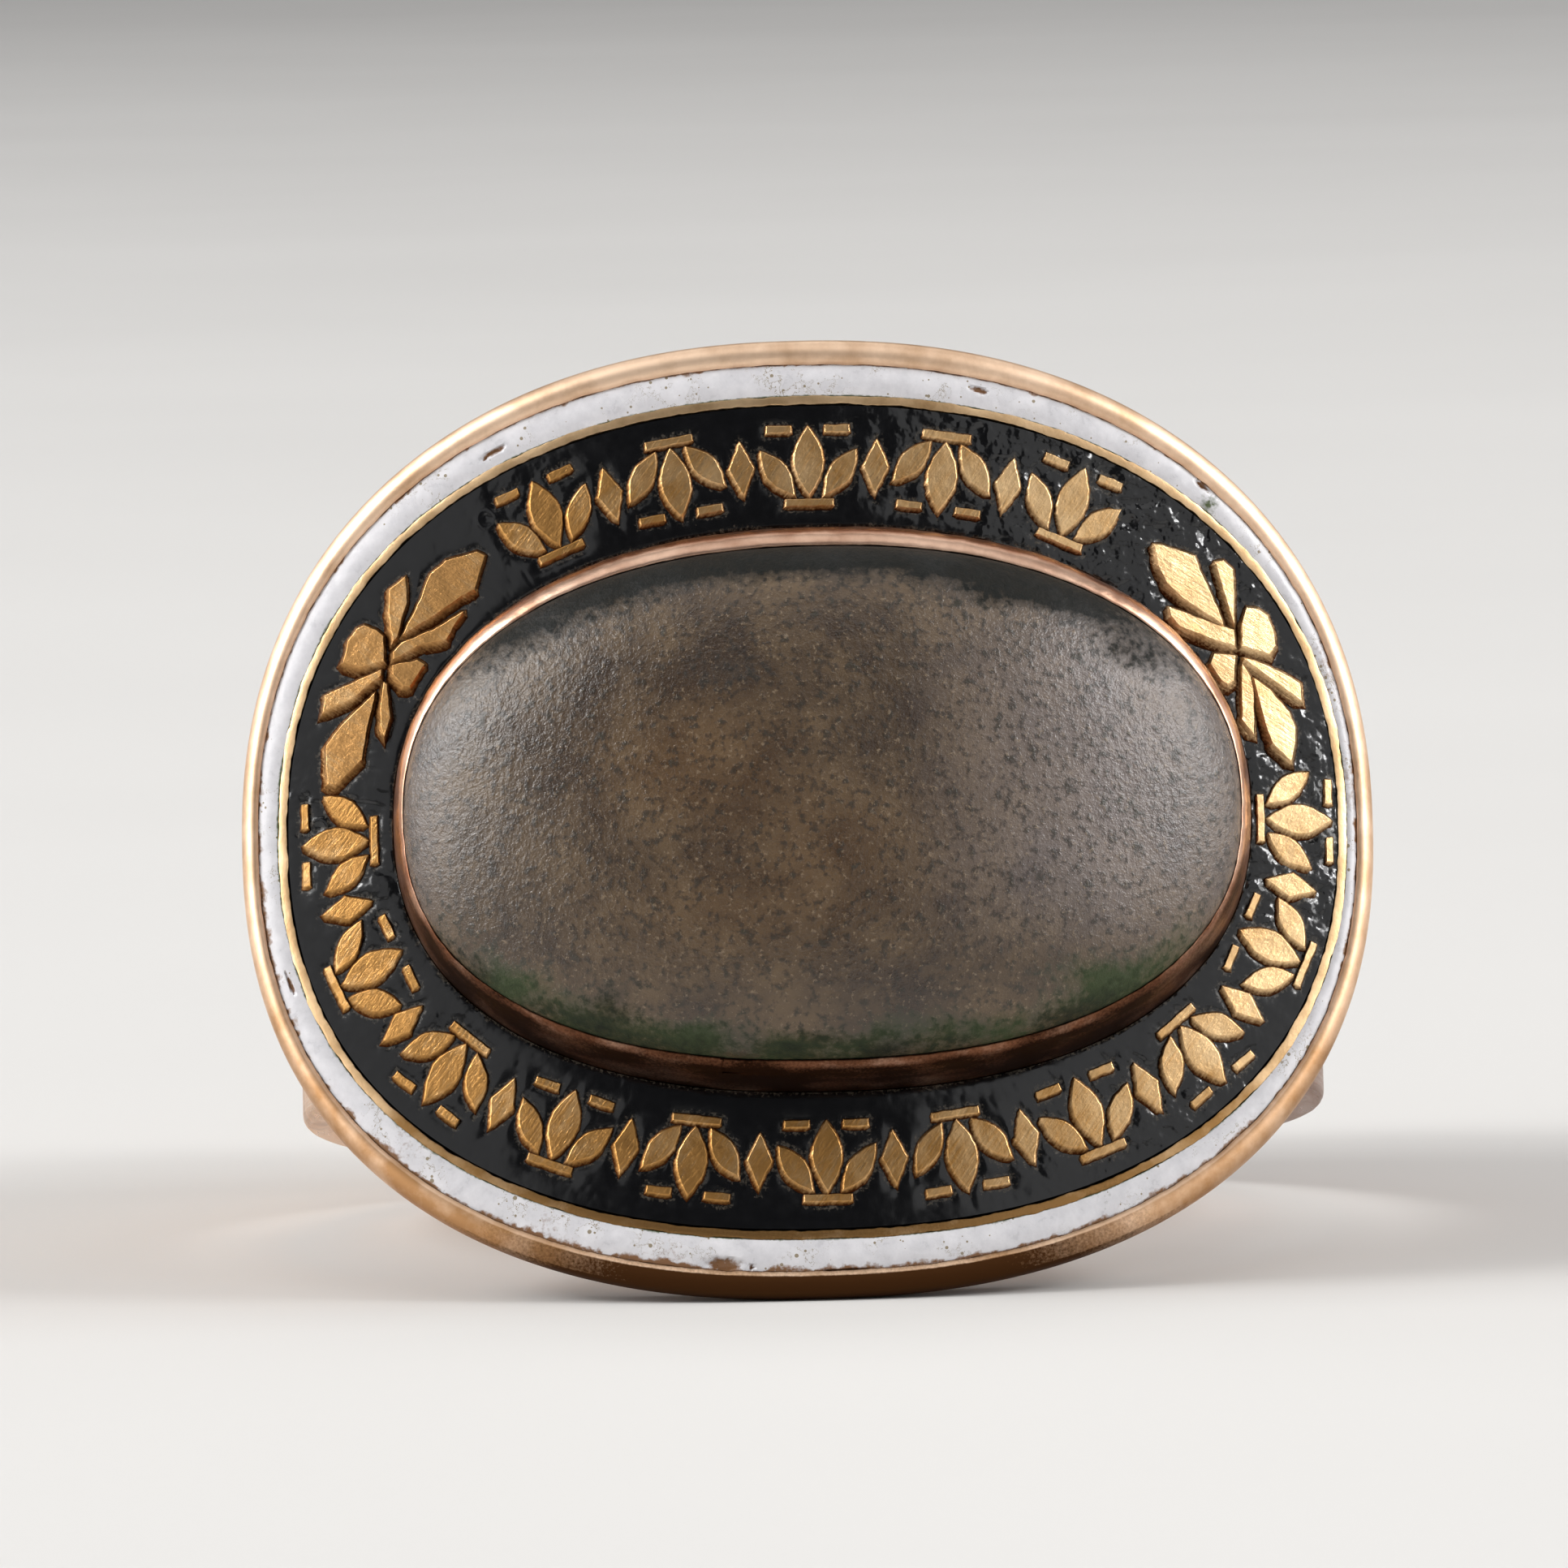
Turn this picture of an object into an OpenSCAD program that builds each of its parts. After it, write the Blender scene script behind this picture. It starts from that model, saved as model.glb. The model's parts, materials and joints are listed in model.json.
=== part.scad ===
// Mourning ring: a gold hoop and wide oval bezel with a white enamel border,
// a black enamel band with reserved gold ornament, and an oval cabochon in a raised collar.
// The ring lies on its side, on the bezel's lower rim and the hoop's back edge, face towards -Y.
// Bezel pieces are drawn face up about the finger axis, then laid down by lie_on_side().

/* [Hoop] */
// Diameter of the finger hole
finger_d = 16.8; // [15:0.1:18.5]
// Thickness of the hoop's wall
hoop_t = 0.6; // [0.5:0.02:1.1]
// Width of the hoop under the bezel
hoop_front_w = 8.2; // [5:0.1:9]
// Width of the hoop at the back of the finger
hoop_back_w = 7.6; // [4:0.1:9]
// Depth of the hoop's wall that is soldered into the bezel's back
solder_depth = 0.3; // [0.2:0.02:0.4]

/* [Bezel] */
// Length of the bezel across the finger
bezel_len = 19.4; // [17.5:0.1:22]
// Height of the bezel along the finger
bezel_height = 16.45; // [14.5:0.05:19]
// Fullness of the ovals, where 2 is an ellipse
oval_power = 2.28; // [2:0.02:2.6]
// Radius of the face's bend across the finger
face_r = 22; // [16:0.5:40]
// Thickness of the bezel's plate, from its back to the enamel
plate_t = 1.3; // [1.1:0.05:2]

/* [Border] */
// Width of the rounded gold rim, at the middle of the long sides
rim_w = 0.46; // [0.3:0.01:0.6]
// Width of the rim at the bezel's two ends
rim_end_w = 0.35; // [0.2:0.01:0.6]
// Rise of the rim's crown above the thin gold line
rim_rise = 0.08; // [0:0.01:0.15]
// Width of the white enamel, at the middle of the long sides
white_w = 0.53; // [0.3:0.01:0.8]
// Width of the white enamel at the bezel's two ends
white_end_w = 0.21; // [0.16:0.01:0.8]
// Width of the thin gold line between the enamels
line_w = 0.14; // [0.1:0.01:0.25]
// Offset of the thin line to the right of the bezel's middle, as it was made by hand
line_right = 0.09; // [0:0.01:0.1]
// Fall of the white enamel from the thin line to the rim
border_fall = 0.08; // [0.02:0.01:0.2]
// Depth of the troughs that hold the enamels
trough_depth = 0.34; // [0.25:0.01:0.5]

// Width of the black band at the bezel's two ends, between the thin line and the collar
band_end_w = 1.68; // [1.4:0.02:2.2]
// Width of the black band at the middle of the long sides
band_w = 2.26; // [1.8:0.02:3]

/* [Collar and stone] */
// Rise of the collar above the black enamel
collar_rise = 1.2; // [0.6:0.05:1.5]
// Lean of the collar's outer wall towards the stone
collar_lean = 0.3; // [0.1:0.02:0.5]
// Thickness of the collar at its top edge
collar_edge = 0.14; // [0.1:0.01:0.3]
// Lean and thickness of the collar at its ends, as a share of those at its sides
collar_end_share = 0.46; // [0.4:0.02:1]
// Offset of the collar to the right of the middle, as it was made by hand
collar_right = 0.26; // [0:0.02:0.3]
// Offset of the collar above the middle
collar_up = 0.12; // [0:0.02:0.3]
// Offset of the stone below the collar's middle, which leaves the collar's edge thicker above it
stone_down = 0.06; // [0:0.01:0.08]
// Height of the stone's dome above the collar's edge
dome_rise = 1.15; // [0.6:0.05:2]
// Height of the stone's seat above the black enamel
seat_rise = 0.2; // [0.1:0.05:0.5]

/* [Ornament] */
// Least distance between the ornament and the edges of its band
ornament_clear = 0.06; // [0.04:0.01:0.25]
// Rise of the gold ornament above the black enamel
ornament_rise = 0.03; // [0.01:0.01:0.08]
// Distance between the palmettes along the band, as a share of the ornament's height
pitch_share = 1.65; // [1.5:0.01:2.2]
// Angle between a palmette's upright leaf and its side leaves
leaf_spread = 36; // [25:1:40]
// Length of a carved sprig along the band
sprig_len = 4.5; // [3.6:0.05:5]
// Distance along the band from the middle of the top to a sprig's middle
sprig_from_top = 8.1; // [7.4:0.05:9]

/* [Fit] */
// Gap round each enamel and the stone
fit_gap = 0.02; // [0.01:0.005:0.04]

/* [Hidden] */
// Stations round each oval, a multiple of 4
stations = 80;
// Steps of the arc length table round the band
arc_steps = 180;
// Depth to which the ornament's feet sink into the trough's floor
foot_sink = 0.04;
// Half the stretch of the band that gives a shape on it its direction
direction_step = 0.05;
// How far a cutter runs past what it cuts
past = 1;

finger_r = finger_d / 2;
hoop_r = finger_r + hoop_t;
bezel_back = hoop_r - solder_depth;
face_u = bezel_back + plate_t;
trough_u = -trough_depth;

// Half sizes of the ovals, along and across: bezel, rim's inner edge, thin line's edges, collar's foot
bezel_half = [bezel_len / 2, bezel_height / 2];
rim_half = bezel_half - [rim_end_w, rim_w];
white_half = rim_half - [white_end_w, white_w];
band_half = white_half - [line_w, line_w];
collar_half = band_half - [band_end_w, band_w];
// Offsets of the thin line, the collar and the stone from the bezel's middle
line_shift = [line_right, 0];
collar_shift = [collar_right, collar_up];
stone_shift = collar_shift - [0, stone_down];
// Distances from the collar's foot to its inner edge and to the stone
seat_inset = collar_lean + collar_edge;
stone_inset = seat_inset + fit_gap;

function widened(half, step) = half + [step, step];

// A row of a section: half sizes, height above the enamel, and offset of the oval's middle
function rim_row(inset, height) =
    [bezel_half - inset * [rim_end_w, rim_w], height, [0, 0]];
function band_row(share, height) = [
    band_half * (1 - share) + collar_half * share, height,
    line_shift * (1 - share) + collar_shift * share
];
function inside_collar(inset) = collar_half - inset * [collar_end_share, 1];
function collar_row(inset, height) = [inside_collar(inset), height, collar_shift];
function seat_row(height) = [inside_collar(seat_inset), height, stone_shift];
function stone_row(share, height) = [inside_collar(stone_inset) * share, height, stone_shift];

// Point of an oval at a clock angle, from its rightmost point
function oval_x(turn, half) = half * sign(cos(turn)) * pow(abs(cos(turn)), 2 / oval_power);
function oval_y(turn, half) = half * sign(sin(turn)) * pow(abs(sin(turn)), 2 / oval_power);
// Distance of the enamel's surface from the finger axis
function face_z(x) = face_u - face_r + sqrt(face_r * face_r - x * x);

function row_point(row, turn) =
    let (x = oval_x(turn, row[0].x) + row[2].x)
    [x, oval_y(turn, row[0].y) + row[2].y, face_z(x) + row[1]];
function row_points(row) = [for (i = [0 : stations - 1]) row_point(row, 360 * i / stations)];

// Rim section, outside to inside: inset as a share of the rim's width,
// and depth below the crown as a share of the rim's whole depth
RIM = [
    [1.25, 1.00],
    [0.50, 0.72],
    [0.14, 0.48],
    [0.00, 0.28],
    [0.02, 0.16],
    [0.16, 0.05],
    [0.42, 0.00],
    [0.76, 0.02],
    [1.00, 0.10]
];
rim_depth = plate_t + rim_rise;
rim_rows = [for (row = RIM) rim_row(row[0], rim_rise - row[1] * rim_depth)];

// Gold from the back's edge round the rim, over both troughs and down into the collar
gold_rows = concat(rim_rows, [
    rim_row(1, trough_u - border_fall),
    [white_half, trough_u, line_shift],
    [white_half, 0, line_shift],
    band_row(0, 0),
    band_row(0, trough_u),
    band_row(1 / 2, trough_u),
    band_row(1, trough_u),
    collar_row(0, 0),
    collar_row(collar_lean, collar_rise),
    seat_row(collar_rise),
    seat_row(seat_rise)
]);

// Dome of the stone: share of the girdle's half sizes, share of the dome's rise
DOME = [
    [1.00, 0.00],
    [0.98, 0.20],
    [0.93, 0.42],
    [0.85, 0.61],
    [0.74, 0.77],
    [0.60, 0.89],
    [0.42, 0.96],
    [0.20, 0.99]
];
dome_rows = [for (row = DOME) stone_row(row[0], collar_rise + row[1] * dome_rise)];

// Lean of the finger axis when the rim's lowest edge and the hoop's back edge both touch the floor
lean = max([for (row = gold_rows)
    atan2(row[0].y - row[2].y - hoop_back_w / 2, face_u + row[1] + hoop_r)]);
lift = hoop_back_w / 2 * cos(lean) + hoop_r * sin(lean);
// Reach of the lying ring to the back and to the front, from the finger axis
reach_back = hoop_back_w / 2 * sin(lean) + hoop_r * cos(lean);
reach_front = max([for (row = dome_rows)
    (face_u + row[1]) * cos(lean) + (row[0].y - row[2].y) * sin(lean)]);

module lie_on_side() {
    translate([0, (reach_front - reach_back) / 2, lift])
        rotate([90 - lean, 0, 0])
            children();
}

// Triangles between two neighbouring rows of stations
function wall_faces(low, high) = [
    for (i = [0 : stations - 1])
        let (j = (i + 1) % stations)
        for (face = [[low + i, high + i, low + j], [low + j, high + i, high + j]]) face
];
// Flat strips across the face that close a row, because mirrored stations share one height
function cap_faces(start) = [
    for (i = [0 : stations / 2 - 1])
        let (k = (stations - i) % stations, m = stations - i - 1)
        for (face = [[start + i, start + i + 1, start + m], [start + i, start + m, start + k]])
            if (face[0] != face[1] && face[1] != face[2] && face[0] != face[2]) face
];
function flipped(faces) = [for (face = faces) [face[2], face[1], face[0]]];

// A solid lofted through ovals, closed by a cap at each end
module capped_loft(rows) {
    last = len(rows) - 1;
    walls = [for (i = [0 : last - 1]) each wall_faces(i * stations, (i + 1) * stations)];
    polyhedron(
        points = [for (row = rows) each row_points(row)],
        faces = concat(walls, cap_faces(0), flipped(cap_faces(last * stations)))
    );
}

// A ring lofted through ovals that come back to the first one
module ring_loft(rows) {
    count = len(rows);
    polyhedron(
        points = [for (row = rows) each row_points(row)],
        faces = [for (i = [0 : count - 1]) each wall_faces(i * stations, ((i + 1) % count) * stations)]
    );
}

// Arc length along the middle of the band, clockwise from the top, against the turn
mid_row = band_row(0.5, 0);
function mid_point(turn) = row_point(mid_row, 90 - turn);
arc_table = [
    for (i = 0, s = 0; i <= arc_steps;
        s = s + norm(mid_point(360 * (i + 1) / arc_steps) - mid_point(360 * i / arc_steps)), i = i + 1)
        [s, 360 * i / arc_steps]
];
band_len = arc_table[arc_steps][0];
// Height of the ornament across the band, set by the band's narrowest place
ornament_h = min(band_end_w + line_right - collar_right, band_w - collar_up) - 2 * ornament_clear;
palmette_pitch = pitch_share * ornament_h;
function band_turn(s) = lookup((s + band_len) % band_len, arc_table);

// Places its children on the enamel, x along the band clockwise and y away from the stone
module on_band(s) {
    here = mid_point(band_turn(s));
    step = mid_point(band_turn(s + direction_step)) - mid_point(band_turn(s - direction_step));
    tilt = asin(here.x / face_r);
    translate(here)
        rotate([0, tilt, 0])
            rotate([0, 0, atan2(step.y, step.x / cos(tilt))])
                children();
}

// A straight-sided gold shape that stands up through the enamel
module reserved(grow) {
    base = grow > 0 ? -2 * trough_depth : -trough_depth - foot_sink;
    rise = grow > 0 ? trough_depth : ornament_rise;
    translate([0, 0, base])
        linear_extrude(height = rise - base)
            children();
}

// A pointed leaf from the origin along +Y
module leaf(length, width) {
    sides = 5;
    polygon([
        for (i = [0 : 2 * sides - 1])
            let (u = i <= sides ? i / sides : 2 - i / sides, side = i <= sides ? 1 : -1)
            [side * width / 2 * sin(180 * u), length * u]
    ]);
}

// Leaves of a palmette: side, then foot along the band, foot across it, length and width,
// all as shares of the ornament's height
LEAVES = [
    [-1, -0.19, -0.36, 0.68, 0.27],
    [0, 0.00, -0.37, 0.86, 0.36],
    [1, 0.19, -0.36, 0.68, 0.27]
];
// Bars of a palmette: middle along the band, middle across it, length and thickness, as such shares
BARS = [
    [0.000, -0.458, 0.58, 0.084],
    [-0.360, 0.458, 0.30, 0.084],
    [0.360, 0.458, 0.30, 0.084]
];
// Width and height of a lozenge, as such shares
LOZENGE = [0.30, 0.66];

// Three leaves rising from a short bar, with two thin bars beside the upright leaf's tip
module palmette(grow) {
    for (row = LEAVES)
        reserved(grow)
            translate([row[1], row[2]] * ornament_h)
                rotate(-leaf_spread * row[0])
                    translate([0, -grow])
                        leaf(row[3] * ornament_h + 2 * grow, row[4] * ornament_h + 2 * grow);
    for (row = BARS)
        reserved(grow)
            translate([row[0], row[1]] * ornament_h)
                square([row[2] * ornament_h + 2 * grow, row[3] * ornament_h + 2 * grow], center = true);
}

// An upright lozenge, whose four sides all move out by the same distance
module lozenge(grow) {
    half = LOZENGE * ornament_h / 2;
    along = half.x + grow * norm(half) / half.y;
    across = half.y + grow * norm(half) / half.x;
    reserved(grow)
        polygon([[along, 0], [0, across], [-along, 0], [0, -across]]);
}

// Leaves of the carved sprig: places as shares of its half length and of the ornament's half height
LONG_LEAF = [[0.28, 0.05], [0.53, -0.28], [0.85, -0.36], [1.00, -0.30], [0.78, 0.34], [0.56, 0.26]];
SIDE_LEAF = [[0.10, 0.08], [0.22, 0.14], [0.42, 0.42], [0.60, 0.70], [0.46, 0.86], [0.25, 0.52]];
PETAL = [[0.02, 0.14], [0.13, 0.50], [0.13, 0.78], [0.03, 0.96], [-0.11, 0.94], [-0.20, 0.70], [-0.13, 0.36]];

function middle(points) = [for (k = [0, 1]) [for (p = points) 1] * [for (p = points) p[k]] / len(points)];

// One leaf of the sprig. Its corners move out twice as far as a gap, because its edges move less
module sprig_leaf(table, along, across, grow) {
    half = [along * sprig_len / 2, across * ornament_h / 2];
    points = [for (p = table) [p[0] * half.x, p[1] * half.y]];
    centre = middle(points);
    reserved(grow)
        polygon([for (p = points) p + grow * 2 * (p - centre) / norm(p - centre)]);
}

module sprig(grow) {
    for (along = [-1, 1]) {
        sprig_leaf(LONG_LEAF, along, along, grow);
        sprig_leaf(PETAL, along, along, grow);
        for (across = [-1, 1])
            sprig_leaf(SIDE_LEAF, along, across, grow);
    }
}

// Palmettes turned in and out by turns, with lozenges between them, along one stretch of the band
module running_ornament(middle_s, stretch, grow) {
    count = floor(stretch / palmette_pitch);
    start = middle_s - (count - 1) / 2 * palmette_pitch;
    for (i = [0 : count - 1])
        on_band(start + i * palmette_pitch)
            rotate(180 * (i % 2))
                palmette(grow);
    for (i = [0 : count - 2])
        on_band(start + (i + 0.5) * palmette_pitch)
            lozenge(grow);
}

module ornament(grow) {
    over = 2 * sprig_from_top - sprig_len;
    under = band_len - 2 * sprig_from_top - sprig_len;
    running_ornament(0, over, grow);
    running_ornament(band_len / 2, under, grow);
    for (side = [-1, 1])
        on_band(side * sprig_from_top)
            mirror([side > 0 ? 0 : 1, 0, 0])
                sprig(grow);
}

// Hoop: a tube whose width tapers from the bezel to the back of the finger
module hoop() {
    widest = max(hoop_front_w, hoop_back_w);
    difference() {
        intersection() {
            rotate([90, 0, 0])
                cylinder(r = hoop_r, h = widest + past, center = true, $fn = 128);
            rotate([90, 0, 90])
                linear_extrude(height = 2 * hoop_r + past, center = true)
                    polygon([
                        [-hoop_back_w / 2, -hoop_r - past],
                        [hoop_back_w / 2, -hoop_r - past],
                        [hoop_back_w / 2, -hoop_r],
                        [hoop_front_w / 2, bezel_back + solder_depth],
                        [-hoop_front_w / 2, bezel_back + solder_depth],
                        [-hoop_back_w / 2, -hoop_r]
                    ]);
        }
        rotate([90, 0, 0])
            cylinder(r = finger_r, h = widest + 2 * past, center = true, $fn = 128);
    }
}

// Hoop, tray, rim, thin line, collar and reserved ornament: one piece of soldered and carved gold
module gold_frame() {
    color("#c79a5e")
        lie_on_side()
            union() {
                hoop();
                capped_loft(gold_rows);
                ornament(0);
            }
}

// White enamel in the sloping outer trough
module white_enamel() {
    outer = widened(rim_half, -fit_gap);
    inner = widened(white_half, fit_gap);
    color("#dcdadb")
        lie_on_side()
            ring_loft([
                [outer, trough_u - border_fall + fit_gap, [0, 0]],
                [outer, -border_fall, [0, 0]],
                [(outer + inner) / 2, fit_gap - border_fall / 2, line_shift / 2],
                [inner, -fit_gap, line_shift],
                [inner, trough_u + fit_gap, line_shift]
            ]);
}

// Black enamel in the inner trough, round the reserved ornament
module black_enamel() {
    outer = widened(band_half, -fit_gap);
    inner = widened(collar_half, fit_gap);
    color("#15151a")
        lie_on_side()
            difference() {
                ring_loft([
                    [outer, trough_u + fit_gap, line_shift],
                    [outer, 0, line_shift],
                    band_row(1 / 3, 0),
                    band_row(2 / 3, 0),
                    [inner, 0, collar_shift],
                    [inner, trough_u + fit_gap, collar_shift],
                    band_row(1 / 2, trough_u + fit_gap)
                ]);
                ornament(fit_gap);
            }
}

// Long oval cabochon, seated in the collar
module cabochon() {
    color("#6b5d50")
        lie_on_side()
            capped_loft(concat([stone_row(1, seat_rise + fit_gap)], dome_rows));
}

gold_frame();
white_enamel();
black_enamel();
cabochon();
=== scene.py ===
import json
import math

import bmesh
import bpy
from mathutils import Matrix, Vector, kdtree, noise


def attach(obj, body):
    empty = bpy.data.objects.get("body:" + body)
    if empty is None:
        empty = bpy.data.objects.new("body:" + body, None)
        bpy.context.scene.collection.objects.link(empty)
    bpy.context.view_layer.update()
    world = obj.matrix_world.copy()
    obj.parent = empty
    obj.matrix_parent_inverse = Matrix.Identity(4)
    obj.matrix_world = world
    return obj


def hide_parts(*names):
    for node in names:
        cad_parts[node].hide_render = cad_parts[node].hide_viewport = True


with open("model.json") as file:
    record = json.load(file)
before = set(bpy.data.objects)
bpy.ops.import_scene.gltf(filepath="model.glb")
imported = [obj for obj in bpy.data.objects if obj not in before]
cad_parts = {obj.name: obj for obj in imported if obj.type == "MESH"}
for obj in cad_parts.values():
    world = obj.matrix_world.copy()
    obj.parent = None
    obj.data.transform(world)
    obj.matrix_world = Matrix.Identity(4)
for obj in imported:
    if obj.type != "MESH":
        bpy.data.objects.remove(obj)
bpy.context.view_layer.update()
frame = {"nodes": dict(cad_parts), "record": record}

scene = bpy.context.scene
MM = 0.001

# Camera
# The photograph is taken almost level with the lying ring, a quarter of a metre off,
# through a long macro lens that is turned a little. All of the ring is sharp.
camera_distance = 250 * MM
camera_rise = math.radians(4.89)
camera_roll = math.radians(-1.41)
camera_aim = Vector((-0.38, 0, 7.915)) * MM

ahead = Vector((0, math.cos(camera_rise), -math.sin(camera_rise)))
level = Vector((1, 0, 0))
upright = level.cross(ahead)
picture_x = level * math.cos(camera_roll) + upright * math.sin(camera_roll)
picture_y = upright * math.cos(camera_roll) - level * math.sin(camera_roll)
lens = bpy.data.cameras.new("macro_lens")
lens.lens = 326.8
lens.sensor_width = 36
lens.clip_start = 0.01
camera = bpy.data.objects.new("camera", lens)
camera.matrix_world = (
    Matrix.Translation(camera_aim - ahead * camera_distance)
    @ Matrix((picture_x, picture_y, -ahead)).transposed().to_4x4()
)
scene.collection.objects.link(camera)
scene.camera = camera
scene.view_settings.view_transform = "Standard"

# Floor
# A shallow dish of pale matt card, so wide that its low wall stays out of the ring's reflections.
# It is the same on every side, and the ring stands at its middle.


def hue(code):
    """A colour written as sRGB hex, turned to linear red, green, blue and alpha."""
    shares = [int(code[k:k + 2], 16) / 255 for k in (1, 3, 5)]
    return [s / 12.92 if s <= 0.04045 else ((s + 0.055) / 1.055) ** 2.4 for s in shares] + [1]


def add(tree, kind, inputs=(), out=0, **settings):
    """Adds a node to a material with its settings, fills or links its inputs, and gives one output."""
    node = tree.nodes.new("ShaderNode" + kind)
    for key, value in settings.items():
        setattr(node, key, value)
    for key, value in dict(inputs).items():
        if isinstance(value, bpy.types.NodeSocket):
            tree.links.new(value, node.inputs[key])
        else:
            node.inputs[key].default_value = value
    return node.outputs[out] if node.outputs else None


def new_material(name):
    """An empty node material."""
    material = bpy.data.materials.new(name)
    material.use_nodes = True
    material.node_tree.nodes.clear()
    return material, material.node_tree


def matt_card():
    """Matt painted card: no gloss, and a faint unevenness of tone."""
    material, tree = new_material("matt_painted_card")
    place = add(tree, "TexCoord", out="Object")
    mottle = add(tree, "TexNoise", {"Vector": place, "Scale": 1 / (40 * MM)})
    tone = add(tree, "Mix", {0: mottle, 6: hue("#c8c6c3"), 7: hue("#cfcdca")}, out=2, data_type="RGBA")
    shader = add(tree, "BsdfPrincipled", {"Base Color": tone, "Roughness": 0.9})
    add(tree, "OutputMaterial", {"Surface": shader})
    return material


# Section of the dish from its middle to its edge, in metres
DISH = [(0, 0, 0), (1.1, 0, 0), (1.35, 0, 0.04), (1.5, 0, 0.18)]
dish_steps = 96
dish = bmesh.new()
profile = [dish.verts.new(point) for point in DISH]
for inner, outer in zip(profile, profile[1:]):
    dish.edges.new((inner, outer))
bmesh.ops.spin(dish, geom=dish.verts[:] + dish.edges[:], cent=(0, 0, 0), axis=(0, 0, 1),
               angle=math.tau, steps=dish_steps, use_merge=True)
bmesh.ops.remove_doubles(dish, verts=dish.verts, dist=1e-5)
bmesh.ops.recalc_face_normals(dish, faces=dish.faces)
dish_mesh = bpy.data.meshes.new("floor")
dish.to_mesh(dish_mesh)
dish_mesh.shade_smooth()
dish_mesh.materials.append(matt_card())
floor = bpy.data.objects.new("floor", dish_mesh)
scene.collection.objects.link(floor)

# Light
# Soft boxes at both sides, behind and overhead, as for jewellery on a table. The one at the front right is
# what the flat gold and the black enamel mirror at that side, and the fainter card is what they mirror at
# the left. Two small lamps make edges, lumps and pits glint. The room itself is dim.
room_light = 0.09
world = bpy.data.worlds.new("dim_room")
world.use_nodes = True
world.node_tree.nodes["Background"].inputs["Color"].default_value = hue("#f4f6ff")
world.node_tree.nodes["Background"].inputs["Strength"].default_value = room_light
scene.world = world
# Name, azimuth to the right of the camera, elevation, distance, width, height, watts
SOFT_BOXES = [
    ("front_right_box", 42, 24, 0.80, 0.80, 0.60, 1.0),
    ("right_box", 82, 24, 0.80, 0.48, 0.60, 4.6),
    ("left_box", -83, 26, 0.80, 0.48, 0.70, 6.2),
    ("front_left_card", -44, 20, 0.80, 0.50, 0.40, 0.34),
    ("right_lamp", 70, 30, 0.80, 0.16, 0.16, 1.5),
    ("left_lamp", -76, 34, 0.80, 0.16, 0.16, 1.7),
    ("back_left_box", -130, 24, 0.80, 0.50, 0.60, 0.9),
    ("back_right_box", 130, 24, 0.80, 0.50, 0.60, 0.8),
    ("top_box", 170, 66, 0.90, 0.80, 0.45, 1.3),
    ("overhead_box", -8, 70, 0.90, 1.10, 0.60, 1.9),
]
for name, azimuth, elevation, distance, width, height, watts in SOFT_BOXES:
    box = bpy.data.lights.new(name, "AREA")
    box.shape = "RECTANGLE"
    box.size, box.size_y, box.energy = width, height, watts
    turn, rise = math.radians(azimuth), math.radians(elevation)
    towards = Vector((math.sin(turn) * math.cos(rise), -math.cos(turn) * math.cos(rise), math.sin(rise)))
    holder = bpy.data.objects.new(name, box)
    holder.location = camera_aim + towards * distance
    holder.rotation_euler = towards.to_track_quat("Z", "Y").to_euler()
    holder.visible_camera = False
    scene.collection.objects.link(holder)

# Hoop
# A flat band of gold, about 18 carat, bent round the finger, narrower at the back, with its edges
# rounded off by wear. Its ends are soldered into the bezel's back. It is drawn in millimetres
# about the finger axis, as every piece is: x across the finger, y along it, z out through the face.
finger_hole = frame["record"]["mounts"][0]
finger_axis = Vector(finger_hole["axis"])
ring_frame = (
    Matrix.Translation(finger_hole["pos_m"])
    @ Matrix((level, finger_axis, level.cross(finger_axis))).transposed().to_4x4()
    @ Matrix.Scale(MM, 4)
)
finger_r = finger_hole["dims"]["r_mm"]
hoop_wall = 0.6
hoop_r = finger_r + hoop_wall
hoop_front_w = finger_hole["dims"]["length_mm"]
hoop_back_w = 7.6
hoop_edge_round = 0.26
hoop_dent = 0.03
hoop_dent_size = 2.4
hoop_steps = 256
hoop_cuts = 14


def own_box(node):
    """Lowest and highest corner of a solid in the ring's own frame, in millimetres."""
    back = ring_frame.inverted()
    points = [back @ v.co for v in frame["nodes"][node].data.vertices]
    return [Vector([pick(p[k] for p in points) for k in range(3)]) for pick in (min, max)]


def fitted(name, drawing, material, node, crease_deg=32):
    """Lays a piece drawn in millimetres into the ring, and gives it its finish."""
    bmesh.ops.recalc_face_normals(drawing, faces=drawing.faces)
    mesh = bpy.data.meshes.new(name)
    drawing.to_mesh(mesh)
    drawing.free()
    mesh.transform(ring_frame)
    mesh.shade_smooth()
    mesh.set_sharp_from_angle(angle=math.radians(crease_deg))
    mesh.materials.append(material)
    piece = bpy.data.objects.new(name, mesh)
    scene.collection.objects.link(piece)
    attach(piece, "root")
    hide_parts(node)


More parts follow.
